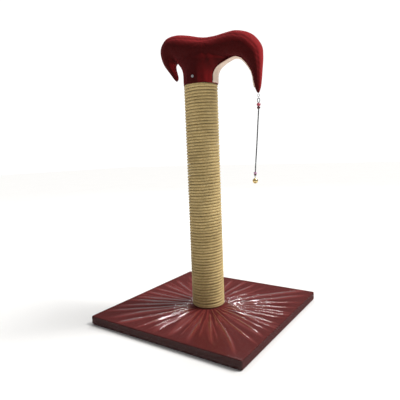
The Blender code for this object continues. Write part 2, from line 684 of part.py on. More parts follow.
def bell(end, finish, frame):
    """A round jingle bell on a wire link under the cord's end, with a slot below and a loose pellet inside."""
    wire = RING_WIRE
    link_height = end.z - LINK_RADIUS - wire - GAP
    add("bell_link", ring((end.x, 0, link_height), (0, 1, 0), LINK_RADIUS, wire, 16), finish["steel"], frame)
    loop_height = link_height - 2 * LINK_RADIUS + 2 * wire + GAP / 2
    centre = Vector((end.x, 0, loop_height - LINK_RADIUS - wire / 2 - BELL_RADIUS))
    inner = BELL_RADIUS - BELL_WALL
    shell = add("bell_shell", sphere(BELL_RADIUS, centre), finish["bell"], frame)
    boolean(shell, add("bell_hollow", sphere(inner, centre), parent=frame, helper=True))
    reach = Vector((0.8 * BELL_RADIUS, BELL_SLOT / 2, 0))
    boolean(shell, add("bell_slot", box(centre - reach - Vector((0, 0, 2 * BELL_RADIUS)),
                                        centre + reach - Vector((0, 0, 0.25 * BELL_RADIUS))),
                       parent=frame, helper=True))
    boolean(shell, add("bell_loop", ring((end.x, 0, loop_height), (1, 0, 0), LINK_RADIUS, wire, 16), parent=frame,
                       helper=True), "UNION")
    rest = centre - Vector((0, 0, inner - PELLET_RADIUS - 2 * GAP))
    add("bell_pellet", sphere(PELLET_RADIUS, rest, 12, 8), finish["steel"], frame)


def sphere(radius, centre, around=20, rows=12):
    bm = bmesh.new()
    bmesh.ops.create_uvsphere(bm, u_segments=around, v_segments=rows, radius=radius, matrix=Matrix.Translation(centre))
    return bm


build_all()
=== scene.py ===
"""Looks of the cat scratching post: fabric, rope, film, cord and bell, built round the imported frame."""

import math

import bmesh
import bpy
import numpy as np
from mathutils import Matrix, Vector
from mathutils.bvhtree import BVHTree


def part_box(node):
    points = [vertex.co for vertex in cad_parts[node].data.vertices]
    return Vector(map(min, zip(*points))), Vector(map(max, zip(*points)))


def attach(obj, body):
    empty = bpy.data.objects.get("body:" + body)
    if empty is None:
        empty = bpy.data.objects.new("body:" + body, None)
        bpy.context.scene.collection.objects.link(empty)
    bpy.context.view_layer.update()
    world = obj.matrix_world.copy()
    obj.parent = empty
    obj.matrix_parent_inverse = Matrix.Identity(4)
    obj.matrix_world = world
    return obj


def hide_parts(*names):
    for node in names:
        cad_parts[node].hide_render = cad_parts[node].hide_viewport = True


bl_info = {
    "name": "Cat Scratching Post",
    "version": (1, 0, 0),
    "blender": (4, 5, 0),
    "location": "3D View > Sidebar > Cat Post",
    "description": "Builds the fabric, rope, film and toy of a cat scratching post",
    "category": "Add Mesh",
}

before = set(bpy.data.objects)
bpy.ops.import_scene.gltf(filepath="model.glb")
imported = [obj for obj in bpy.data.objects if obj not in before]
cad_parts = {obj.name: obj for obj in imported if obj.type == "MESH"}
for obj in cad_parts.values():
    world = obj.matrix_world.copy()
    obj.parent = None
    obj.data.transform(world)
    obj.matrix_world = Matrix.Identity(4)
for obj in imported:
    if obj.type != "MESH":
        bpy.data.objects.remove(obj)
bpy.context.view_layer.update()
MM = 0.001

TOPPER_TURN = math.radians(14)  # about the post, from the base's sides
ROPE_LOW, ROPE_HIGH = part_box("rope_wrap")
NECK_RIM = ROPE_HIGH.z + 0.3 * MM

ROPE_HALF_HEIGHT = 3.5 * MM  # of the laid rope's own section
ROPE_HALF_DEPTH = 3.95 * MM
VELOUR_THICK = 1.1 * MM
NECK_HEM_DROP = 1.9 * MM  # how far the neck's hem comes down over the rope
FLOOR_GAP = 0.2 * MM
CREASE_UNIT = 1.6 * MM  # the crease height that counts as a full fold

# The topper's horns, from the short one's tip over to the long one's: the outline's outer point and its
# inner point, each as sideways place and height above the neck's rim, and the half depth, in millimetres.
HORN_LINE = (
    (-61.0, 11.0, -57.5, 13.0, 2.6),
    (-67.5, 18.0, -54.6, 18.5, 8.0),
    (-74.8, 29.0, -56.5, 29.0, 12.0),
    (-83.3, 41.5, -60.2, 40.0, 17.0),
    (-88.5, 49.5, -61.8, 51.0, 22.0),
    (-94.2, 64.0, -58.5, 55.0, 27.0),
    (-96.0, 80.5, -55.5, 58.5, 30.0),
    (-90.8, 97.0, -53.5, 58.0, 33.0),
    (-75.5, 112.3, -51.0, 55.5, 36.0),
    (-49.7, 115.8, -46.5, 51.0, 38.0),
    (-22.5, 110.0, -30.0, 48.0, 39.0),
    (11.6, 101.0, 8.0, 46.0, 39.5),
    (39.7, 100.3, 38.0, 46.0, 39.5),
    (63.0, 104.0, 62.0, 49.5, 38.5),
    (87.5, 108.0, 82.0, 51.0, 36.0),
    (113.5, 102.2, 97.0, 48.5, 33.0),
    (132.3, 90.0, 104.5, 41.5, 30.0),
    (146.5, 69.5, 111.0, 33.0, 27.0),
    (148.0, 49.5, 116.5, 24.0, 24.0),
    (147.3, 33.0, 120.7, 15.0, 20.0),
    (146.0, 17.0, 123.6, 4.0, 17.0),
    (144.7, 0.0, 124.7, -8.0, 14.0),
    (142.7, -16.0, 126.9, -18.0, 10.5),
    (140.0, -26.0, 130.0, -27.0, 6.5),
    (137.3, -32.0, 133.5, -33.0, 2.5),
)
LONG_HORN = 13  # the first section past the neck, on the long horn's side
# The neck, from below its rim upwards: height above the rim, middle, half width and half depth, in
# millimetres.
NECK_LINE = (
    (-9.0, 0.0, 40.5, 40.5),
    (0.0, 0.0, 40.5, 40.5),
    (22.0, 0.5, 41.5, 40.3),
    (35.0, 3.5, 47.5, 39.8),
    (45.0, 6.5, 56.0, 39.2),
    (54.0, 8.0, 63.0, 38.4),
    (76.0, 8.0, 63.0, 30.0),
)
# The lining's half width at lengths along it from the neck's rim, in millimetres.
LINING_HALF = ((0, 19.5), (30, 17.5), (50, 13.5), (62, 11.5), (100, 10.5), (190, 8.5), (240, 5.5))
# The toy cord's route: sideways place and height above the neck's rim, in millimetres.
CORD_ROUTE = (
    (135.4, -53.5), (135.2, -64.0), (134.7, -73.0), (134.0, -82.0), (133.2, -92.0), (132.5, -102.0),
    (131.8, -112.0), (131.1, -122.0), (130.4, -132.0), (129.7, -142.0), (128.9, -152.0), (128.1, -162.0),
    (127.3, -172.0), (126.5, -182.0), (125.7, -192.0), (125.0, -202.0), (124.5, -210.0), (124.2, -215.0),
)


# ---------------------------------------------------------------- mesh helpers


def turn_topper(point):
    """A point placed for a topper square to the base, turned to where the topper points."""
    x, y, z = point
    cos, sin = math.cos(TOPPER_TURN), math.sin(TOPPER_TURN)
    return Vector((x * cos - y * sin, x * sin + y * cos, z))


def add_mesh(name, points, faces, uvs=None):
    """An object from points and faces; uvs gives one pair per face corner."""
    mesh = bpy.data.meshes.new(name)
    mesh.from_pydata([tuple(p) for p in points], [], [tuple(int(i) for i in f) for f in faces])
    if uvs is not None:
        layer = mesh.uv_layers.new(name="UVMap")
        layer.data.foreach_set("uv", np.asarray(uvs, np.float32).ravel())
    mesh.validate()
    made = bpy.data.objects.new(name, mesh)
    bpy.context.scene.collection.objects.link(made)
    mesh.shade_smooth()
    return made


def grid_faces(rows, columns, close_rows=False, close_columns=False):
    """Quads of a grid of rows by columns points, numbered row by row."""
    faces = []
    for i in range(rows if close_rows else rows - 1):
        for k in range(columns if close_columns else columns - 1):
            j, m = (i + 1) % rows, (k + 1) % columns
            faces.append((i * columns + k, i * columns + m, j * columns + m, j * columns + k))
    return faces


def face_outwards(made):
    bm = bmesh.new()
    bm.from_mesh(made.data)
    bmesh.ops.recalc_face_normals(bm, faces=bm.faces[:])
    bm.to_mesh(made.data)
    bm.free()


def apply_modifiers(made):
    """The evaluated mesh becomes the object's own."""
    graph = bpy.context.evaluated_depsgraph_get()
    mesh = bpy.data.meshes.new_from_object(made.evaluated_get(graph))
    old = made.data
    made.modifiers.clear()
    made.data = mesh
    bpy.data.meshes.remove(old)
    mesh.name = made.name
    mesh.shade_smooth()


def catmull(values, steps):
    """Points on a smooth curve through values, steps to each span."""
    values = np.asarray(values, float)
    last = len(values) - 1
    out = []
    for i in range(last):
        a, b, c, d = (values[min(max(i + k, 0), last)] for k in (-1, 0, 1, 2))
        for k in range(steps):
            t = k / steps
            out.append(0.5 * (2 * b + (c - a) * t + (2 * a - 5 * b + 4 * c - d) * t * t
                              + (3 * b - a - 3 * c + d) * t ** 3))
    out.append(values[-1])
    return np.array(out)


def arc_lengths(points):
    steps = np.linalg.norm(np.diff(points, axis=0), axis=1)
    return np.concatenate([[0.0], np.cumsum(steps)])


def evenly(points, count):
    """That many points at equal distances along a line of points."""
    points = np.asarray(points, float)
    lengths = arc_lengths(points)
    wanted = np.linspace(0, lengths[-1], count)
    return np.column_stack([np.interp(wanted, lengths, points[:, k]) for k in range(3)])


def tube(name, path, radius, sides=12, lobes=0, lobe_depth=0.0, lay=1.0, closed=False):
    """A tube along path; with lobes, a rope of that many strands that turn once in each lay."""
    path = np.asarray(path, float)
    count = len(path)
    if closed:
        ahead, behind = np.roll(path, -1, axis=0), np.roll(path, 1, axis=0)
    else:
        ahead, behind = np.vstack([path[1:], path[-1:]]), np.vstack([path[:1], path[:-1]])
    along = ahead - behind
    along /= np.linalg.norm(along, axis=1)[:, None]
    normal = Vector(along[0]).orthogonal().normalized()
    travelled = arc_lengths(path)
    rows = []
    for i in range(count):
        forward = Vector(along[i])
        normal = (normal - forward * normal.dot(forward)).normalized()
        other = forward.cross(normal)
        for k in range(sides):
            angle = math.tau * k / sides
            strand = math.cos(lobes * angle - math.tau * lobes * travelled[i] / lay) if lobes else 0.0
            reach = radius * (1 - lobe_depth * (1 - strand) / 2)
            rows.append(Vector(path[i]) + (normal * math.cos(angle) + other * math.sin(angle)) * reach)
    faces = grid_faces(count, sides, close_rows=closed, close_columns=True)
    if not closed:
        faces.append(tuple(range(sides)))
        faces.append(tuple((count - 1) * sides + k for k in range(sides)))
    made = add_mesh(name, rows, faces)
    face_outwards(made)
    return made


def lathe(name, profile, centre, axis=(0, 0, 1), sides=40):
    """A solid turned about axis through centre from a closed profile of (radius, height) points."""
    turn = Vector(axis).to_track_quat("Z", "Y").to_matrix()
    points = []
    for radius, height in profile:
        for k in range(sides):
            angle = math.tau * k / sides
            spoke = Vector((radius * math.cos(angle), radius * math.sin(angle), height))
            points.append(Vector(centre) + turn @ spoke)
    made = add_mesh(name, points, grid_faces(len(profile), sides, close_rows=True, close_columns=True))
    face_outwards(made)
    return made


# ---------------------------------------------------------------- materials


class Finish:
    """A material under construction: a Principled shader and short ways to add nodes to it."""

    def __init__(self, name, colour, roughness, metallic=0.0, **sockets):
        self.material = bpy.data.materials.new(name)
        self.material.use_nodes = True
        self.nodes = self.material.node_tree.nodes
        self.links = self.material.node_tree.links
        self.shader = self.nodes["Principled BSDF"]
        self.shader.inputs["Base Color"].default_value = (*colour, 1.0)
        self.shader.inputs["Roughness"].default_value = roughness
        self.shader.inputs["Metallic"].default_value = metallic
        for key, value in sockets.items():
            self.shader.inputs[key.replace("_", " ").title().replace("Ior", "IOR")].default_value = value
        self.material.diffuse_color = (*colour, 1.0)

    def add(self, kind, **settings):
        node = self.nodes.new(kind)
        for key, value in settings.items():
            setattr(node, key, value)
        return node

    def link(self, start, end):
        self.links.new(start, end)

    def place(self, stretch=(1, 1, 1), source="Object"):
        """Texture coordinates, stretched."""
        where = self.add("ShaderNodeTexCoord")
        mapping = self.add("ShaderNodeMapping")
        mapping.inputs["Scale"].default_value = stretch
        self.link(where.outputs[source], mapping.inputs["Vector"])
        return mapping.outputs["Vector"]

    def noise(self, scale, detail=3.0, roughness=0.55, vector=None):
        node = self.add("ShaderNodeTexNoise")
        node.inputs["Scale"].default_value = scale
        node.inputs["Detail"].default_value = detail
        node.inputs["Roughness"].default_value = roughness
        self.link(vector if vector is not None else self.place(), node.inputs["Vector"])
        return node.outputs["Fac"]

    def ramp(self, value, stops):
        """stops are (position, colour or grey)."""
        node = self.add("ShaderNodeValToRGB")
        elements = node.color_ramp.elements
        while len(elements) < len(stops):
            elements.new(0.5)
        for element, (position, colour) in zip(elements, stops):
            element.position = position
            element.color = (*colour, 1.0) if isinstance(colour, tuple) else (colour, colour, colour, 1.0)
        self.link(value, node.inputs["Fac"])
        return node.outputs["Color"]

    def mix(self, factor, one, two, blend="MIX"):
        node = self.add("ShaderNodeMix", data_type="RGBA", blend_type=blend)
        colours = [s for s in node.inputs if s.type == "RGBA"]
        for socket, value in ((node.inputs[0], factor), (colours[0], one), (colours[1], two)):
            if isinstance(value, bpy.types.NodeSocket):
                self.link(value, socket)
            elif isinstance(value, tuple):
                socket.default_value = (*value, 1.0)
            else:
                socket.default_value = value
        return next(s for s in node.outputs if s.type == "RGBA")

    def math(self, operation, one, two=0.0):
        node = self.add("ShaderNodeMath", operation=operation)
        for socket, value in zip(node.inputs, (one, two)):
            if isinstance(value, bpy.types.NodeSocket):
                self.link(value, socket)
            else:
                socket.default_value = value
        return node.outputs[0]

    def bump(self, height, distance, strength=1.0, before=None):
        node = self.add("ShaderNodeBump")
        node.inputs["Distance"].default_value = distance
        node.inputs["Strength"].default_value = strength
        self.link(height, node.inputs["Height"])
        if before is not None:
            self.link(before, node.inputs["Normal"])
        self.link(node.outputs["Normal"], self.shader.inputs["Normal"])
        return node.outputs["Normal"]

    def colour(self, value):
        self.link(value, self.shader.inputs["Base Color"])

    def roughness(self, value):
        self.link(value, self.shader.inputs["Roughness"])


def paint(made, finish):
    """Gives an object, or a CAD node by name, that finish."""
    if isinstance(made, str):
        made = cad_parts[made]
        while len(made.material_slots) > 1:
            made.data.materials.pop()
    made.data.materials.clear()
    made.data.materials.append(finish.material)
    return made


def velour(name, dark, light, sheen, painted_light_way=(0.42, 0.30, 0.86), span=(0.05, 0.95)):
    """Short cut pile, mottled and grained, with a soft edge glow, and painted light and shade: lighter where
    it faces the given way, darker where it faces away.
    """
    finish = Finish(name, dark, 0.85, sheen_weight=sheen, sheen_roughness=0.45, specular_ior_level=0.15)
    finish.shader.inputs["Sheen Tint"].default_value = (1.0, 0.10, 0.13, 1.0)
    # Painted light and shade: how far the surface faces the given way, the way to the key light, moves the
    # colour from dark to light.
    light_facing = finish.add("ShaderNodeVectorMath", operation="DOT_PRODUCT")
    finish.link(finish.add("ShaderNodeNewGeometry").outputs["Normal"], light_facing.inputs[0])
    light_facing.inputs[1].default_value = Vector(painted_light_way).normalized()
    nap = finish.noise(26, 4.0, 0.6)
    rubbed = finish.noise(150, 3.0, 0.7)
    grain = finish.noise(1900, 2.0, 0.6)
    blend = finish.math("ADD", finish.math("MULTIPLY", nap, 0.30), finish.math("MULTIPLY", rubbed, 0.14))
    blend = finish.math("ADD", finish.math("SUBTRACT", blend, 0.22), light_facing.outputs["Value"])
    half = tuple((a + b) / 2 * 0.8 for a, b in zip(dark, light))
    middle = (span[0] + span[1]) / 2
    tone = finish.ramp(blend, ((span[0], dark), (middle, half), (span[1], light)))
    speckle = finish.ramp(grain, ((0.3, (0.72, 0.72, 0.72)), (0.7, (1.18, 1.18, 1.18))))
    finish.colour(finish.mix(1.0, tone, speckle, "MULTIPLY"))
    finish.roughness(finish.ramp(rubbed, ((0.3, 0.75), (0.7, 0.95))))
    first = finish.bump(rubbed, 0.5 * MM, 0.5)
    finish.bump(grain, 0.35 * MM, 0.8, first)
    return finish


def sisal(name):
    """Twisted hard fibre: pale and dark hairs that run along the strands, with worn and shaded patches."""
    finish = Finish(name, (0.46, 0.34, 0.15), 0.8, sheen_weight=0.15, sheen_roughness=0.4)
    along = finish.place((60.0, 5.0, 1.0), "UV")
    hairs = finish.noise(1.0, 5.0, 0.75, along)
    coarse = finish.noise(1.0, 3.0, 0.6, finish.place((14.0, 1.3, 1.0), "UV"))
    patch = finish.noise(22, 3.0, 0.6)
    dark, straw, pale = (0.22, 0.135, 0.045), (0.62, 0.475, 0.215), (0.97, 0.85, 0.53)
    fibre = finish.ramp(hairs, ((0.32, dark), (0.50, straw), (0.70, pale)))
    shade = finish.ramp(patch, ((0.3, (0.82, 0.80, 0.74)), (0.7, (1.1, 1.1, 1.08))))
    tone = finish.mix(1.0, fibre, shade, "MULTIPLY")
    streak = finish.ramp(coarse, ((0.35, (0.78, 0.74, 0.66)), (0.65, (1.12, 1.1, 1.06))))
    finish.colour(finish.mix(1.0, tone, streak, "MULTIPLY"))
    finish.roughness(finish.ramp(hairs, ((0.3, 0.9), (0.7, 0.65))))
    finish.bump(hairs, 0.5 * MM, 0.9)
    return finish


def metal(name, colour, roughness, grain=900):
    finish = Finish(name, colour, roughness, 1.0)
    rub = finish.noise(grain, 3.0, 0.6)
    stain = finish.noise(120, 3.0, 0.6)
    darker = tuple(c * 0.7 for c in colour)
    finish.colour(finish.ramp(stain, ((0.3, darker), (0.6, colour))))
    finish.roughness(finish.ramp(rub, ((0.3, roughness * 0.7), (0.7, min(roughness * 1.5, 1.0)))))
    finish.bump(rub, 0.03 * MM, 0.5)
    return finish


def wooden(name, pale, dark, stretch, scale=30):
    finish = Finish(name, pale, 0.65)
    grain = finish.noise(scale, 6.0, 0.6, finish.place(stretch))
    fine = finish.noise(700, 2.0, 0.6)
    tone = finish.ramp(grain, ((0.35, dark), (0.62, pale)))
    finish.colour(finish.mix(0.25, tone, finish.ramp(fine, ((0.3, dark), (0.7, pale)))))
    finish.bump(grain, 0.3 * MM, 0.5)
    return finish


def chips(name):
    """Pressed wood chips: cells of different browns."""
    finish = Finish(name, (0.48, 0.34, 0.20), 0.85)
    cells = finish.add("ShaderNodeTexVoronoi")
    cells.inputs["Scale"].default_value = 260
    finish.link(finish.place((1, 1, 2.5)), cells.inputs["Vector"])
    dark, middle, pale = (0.26, 0.16, 0.08), (0.50, 0.35, 0.20), (0.68, 0.52, 0.33)
    tone = finish.ramp(cells.outputs["Color"], ((0.1, dark), (0.5, middle), (0.9, pale)))
    finish.colour(tone)
    finish.bump(cells.outputs["Distance"], 0.4 * MM, 0.6)
    return finish


def glossy(name, colour, roughness=0.15, coat=0.6):
    """Polished bead plastic with a little cloud in its colour."""
    finish = Finish(name, colour, roughness, coat_weight=coat, coat_roughness=0.05)
    cloud = finish.noise(500, 3.0, 0.6)
    darker = tuple(c * 0.6 for c in colour)
    finish.colour(finish.ramp(cloud, ((0.3, darker), (0.65, colour))))
    finish.bump(cloud, 0.05 * MM, 0.4)
    return finish


# ---------------------------------------------------------------- settings


class PostSettings(bpy.types.PropertyGroup):
    """Sizes of the wound rope."""

    rope_pitch: bpy.props.FloatProperty(
        name="Rope Pitch", description="Height of one turn", default=6.9 * MM, unit="LENGTH")
    strand_lay: bpy.props.FloatProperty(
        name="Strand Lay", description="Length of rope in which a strand turns once",
        default=19 * MM, unit="LENGTH")
    fibre_count: bpy.props.IntProperty(
        name="Loose Fibres", description="Hairs that stand off the rope", default=420)


class TopperSettings(bpy.types.PropertyGroup):
    """Shape and colour of the stuffed topper."""

    fill: bpy.props.FloatProperty(
        name="Fill", description="From 0, slack, to 1, tight", default=0.85, subtype="FACTOR")
    inset: bpy.props.FloatProperty(
        name="Inset", description="How far the cloth starts inside its final shape",
        default=0.8 * MM, unit="LENGTH")
    voxel: bpy.props.FloatProperty(
        name="Remesh Size", description="Size of the remeshed faces", default=3.2 * MM, unit="LENGTH")
    swell: bpy.props.FloatProperty(
        name="Swell", description="The most that the stuffing pushes the cloth out",
        default=2.5 * MM, unit="LENGTH")
    seam_half: bpy.props.FloatProperty(
        name="Gusset Half Width", description="From the middle to each seam",
        default=30 * MM, unit="LENGTH")
    # Pile Shade and Pile Light are painted shade and painted light: the topper's pile takes the first where
    # it faces away from the key light and the second where it faces it.
    dark: bpy.props.FloatVectorProperty(
        name="Pile Shade", description="Colour where the nap lies away",
        default=(0.048, 0.0010, 0.0010), subtype="COLOR")
    light: bpy.props.FloatVectorProperty(
        name="Pile Light", description="Colour where the nap lies up",
        default=(0.29, 0.012, 0.014), subtype="COLOR")


class BaseSettings(bpy.types.PropertyGroup):
    """Folds of the base's cover and film."""

    around: bpy.props.IntProperty(name="Rays", description="Mesh columns round the base", default=1440)
    cover_fold: bpy.props.FloatProperty(
        name="Cover Fold", description="Share of a crease that shows in the velour",
        default=0.55, subtype="FACTOR")
    seed: bpy.props.IntProperty(name="Seed", description="Choice of small creases", default=7)


class ToySettings(bpy.types.PropertyGroup):
    """Sizes of the hanging toy."""

    cord_diameter: bpy.props.FloatProperty(
        name="Cord Diameter", description="Across the twisted cord", default=3 * MM, unit="LENGTH")
    cord_lay: bpy.props.FloatProperty(
        name="Cord Lay", description="Length in which a strand turns once", default=9 * MM, unit="LENGTH")


class StageSettings(bpy.types.PropertyGroup):
    """Camera, light and floor."""

    camera_place: bpy.props.FloatVectorProperty(
        name="Camera", description="Where the camera stands",
        default=(0.5186, -0.7776, 0.3869), subtype="TRANSLATION")
    camera_turn: bpy.props.FloatVectorProperty(
        name="Turn", description="The camera's turn in degrees", default=(83.48, 2.15, 34.185))
    lens: bpy.props.FloatProperty(name="Lens", description="Focal length in millimetres", default=35.07)
    key_strength: bpy.props.FloatProperty(
        name="Key Light", description="Strength of the high soft light", default=3.1)
    key_from: bpy.props.FloatVectorProperty(
        name="Key Direction", description="Towards the high soft light",
        default=(0.50, 0.33, 0.80), subtype="DIRECTION")
    window_power: bpy.props.FloatProperty(
        name="Window Light", description="Power of the light behind, which the film mirrors",
        default=16.0, unit="POWER")
    sky: bpy.props.FloatProperty(name="Sky", description="Strength of the surrounding light", default=0.30)


# ---------------------------------------------------------------- pieces: toy


def in_frame(side, height):
    """A point of the topper's plane, given in millimetres from the post and the neck's rim."""
    return turn_topper((side * MM, 0, NECK_RIM + height * MM))


def cord_points():
    """The toy cord's centreline, two and a half diameters apart."""
    diameter = bpy.context.scene.catpost_toy.cord_diameter
    knots = np.array([in_frame(*place) for place in CORD_ROUTE])
    count = max(2, round(arc_lengths(knots)[-1] / (2.5 * diameter)))
    return evenly(catmull(knots, 4), count + 1)


class CATPOST_OT_toy_cord(bpy.types.Operator):
    """Twisted cord with a pale fleck, hanging from the long horn"""

    bl_idname = "catpost.toy_cord"
    bl_label = "Toy Cord"

    def execute(self, context):
        toy = context.scene.catpost_toy
        route = cord_points()
        length = arc_lengths(route)[-1]
        fine = evenly(catmull(route, 6), round(length / (0.7 * MM)))
        cord = tube("toy_cord_twist", fine, toy.cord_diameter / 2 * 1.02, 18, 3, 0.30, toy.cord_lay)
        finish = Finish("black_cord", (0.02, 0.02, 0.024), 0.55, sheen_weight=0.3, sheen_roughness=0.4)
        fleck = finish.noise(420, 2.0, 0.6, finish.place((1, 1, 0.55)))
        black, grey, pale = (0.014, 0.014, 0.018), (0.10, 0.12, 0.12), (0.42, 0.46, 0.44)
        finish.colour(finish.ramp(fleck, ((0.52, black), (0.60, grey), (0.68, pale))))
        finish.bump(finish.noise(1800, 2.0), 0.15 * MM, 0.7)
        paint(cord, finish)
        paint("cord_loop", finish)
        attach(cord, "toy")
        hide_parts("toy_cord")
        return {"FINISHED"}


def bead_profile(radius, height, hole, rim=0.2 * MM, flat=0.8, steps=14):
    """Half section of a bead with flat ends and a hole; its side covers the share flat of a half circle."""
    profile = [(hole, -height / 2 * 0.78)]
    for k in range(steps + 1):
        angle = math.pi * flat * (k / steps - 0.5)
        out = hole + rim + (radius - hole - rim) * math.cos(angle) ** 0.8
        profile.append((out, height / 2 * math.sin(angle)))
    profile.append((hole, height / 2 * 0.78))
    return profile


def node_axis(node):
    """The middle of a CAD node on the toy, and the cord's direction there."""
    low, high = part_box(node)
    middle = (low + high) / 2
    route = cord_points()
    near = int(np.argmin(np.linalg.norm(route - np.array(middle), axis=1)))
    near = min(max(near, 1), len(route) - 2)
    return middle, Vector(route[near - 1] - route[near + 1]).normalized()


class CATPOST_OT_beads(bpy.types.Operator):
    """Round beads above and below the cord"""

    bl_idname = "catpost.beads"
    bl_label = "Beads"

    def execute(self, context):
        rows = (
            ("red_bead", (0.62, 0.075, 0.13), "red_bead", 0.12, 4.4 * MM, 6.9 * MM),
            ("dark_bead", (0.085, 0.006, 0.014), "dark_bead", 0.10, 3.7 * MM, 5.5 * MM),
            ("lilac_bead", (0.66, 0.33, 0.55), "lilac_bead", 0.16, 3.9 * MM, 4.4 * MM),
            ("cap_bead", (0.13, 0.035, 0.028), "brown_knot", 0.35, 3.2 * MM, 3.1 * MM),
        )
        for node, colour, slot, roughness, radius, height in rows:
            middle, axis = node_axis(node)
            made = lathe(node + "_polished", bead_profile(radius, height, 1.75 * MM), middle, axis, 36)
            paint(made, glossy(node + "_finish", colour, roughness))
            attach(made, "toy")
            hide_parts(node)
        return {"FINISHED"}


class CATPOST_OT_bell(bpy.types.Operator):
    """Round jingle bell with a band round its middle and a slot below"""

    bl_idname = "catpost.bell"
    bl_label = "Bell"

    def execute(self, context):
        low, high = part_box("bell_shell")
        radius = (high.x - low.x) / 2
        centre = Vector(((low.x + high.x) / 2, (low.y + high.y) / 2, low.z + radius))
        profile = []
        steps = 30
        for k in range(steps + 1):
            angle = math.pi * (k / steps - 0.5)
            band = 0.35 * MM * math.exp(-((radius * math.sin(angle)) / (0.55 * MM)) ** 2)
            outer = max((radius - 0.3 * MM) * math.cos(angle), 0.05 * MM)
            profile.append((outer + band, (radius - 0.1 * MM) * math.sin(angle)))
        for k in range(steps, -1, -1):
            angle = math.pi * (k / steps - 0.5)
            inner = radius - 0.85 * MM
            profile.append((max(inner * math.cos(angle), 0.03 * MM), inner * math.sin(angle)))
        shell = lathe("bell_polished", profile, centre, sides=48)
        for cut in range(2):
            turn = TOPPER_TURN + cut * math.pi / 2
            bpy.ops.mesh.primitive_cube_add(size=1, location=centre - Vector((0, 0, 0.8 * radius)))
            cutter = context.object
            cutter.scale = (1.5 * radius, 1.1 * MM, radius)
            cutter.rotation_euler.z = turn
            step = shell.modifiers.new("Slot", "BOOLEAN")
            step.object = cutter
            step.solver = "EXACT"
            context.view_layer.update()
            apply_modifiers(shell)
            bpy.data.objects.remove(cutter)
        shell.data.set_sharp_from_angle(angle=math.radians(40))
        finish = metal("pale_brass", (0.86, 0.68, 0.33), 0.2)
        paint(shell, finish)
        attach(shell, "bell")
        loop = tube("bell_loop", [centre + Vector((0, 0, radius + 1.1 * MM))
                                  + turn_topper((0, 1.4 * MM * math.cos(a), 1.4 * MM * math.sin(a)))
                                  for a in np.linspace(0, math.tau, 33)[:-1]], 0.42 * MM, 10, closed=True)
        paint(loop, finish)
        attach(loop, "bell")
        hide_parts("bell_shell")
        bright = metal("bright_steel", (0.62, 0.62, 0.64), 0.25)
        for node in ("bell_link", "bell_pellet", "jump_ring", "tip_eye"):
            paint(node, bright)
        return {"FINISHED"}


# ---------------------------------------------------------------- pieces: post


def rope_path(pitch):
    """The helix of the wound rope, its pitch and radius wandering a little, its ends tucked in."""
    radius = (ROPE_HIGH.x - ROPE_LOW.x) / 2 - ROPE_HALF_DEPTH
    low, high = ROPE_LOW.z + 3.85 * MM, ROPE_HIGH.z - 3.85 * MM
    turns = round((high - low) / pitch)
    count = int((turns + 2) * math.tau * radius / (1.9 * MM))
    angle = np.linspace(0, (turns + 2) * math.tau, count)
    height = low + (high - low) * np.clip((angle / math.tau - 1) / turns, 0, 1)
    level_end = np.clip((angle[-1] - angle) / 20, 0, 1)
    height += 0.28 * MM * np.sin(angle * 0.37 + 1.0) * np.sin(angle * 0.083) * level_end
    reach = radius + 0.20 * MM * np.sin(angle * 0.61) * np.sin(angle * 0.147 + 2.0)
    tucked = np.clip(1 - angle / math.tau, 0, 1) + np.clip(1 - (angle[-1] - angle) / math.tau, 0, 1)
    reach -= 2.2 * MM * tucked ** 2
    back = TOPPER_TURN + math.pi / 2
    return np.column_stack([reach * np.cos(angle + back), reach * np.sin(angle + back), height])


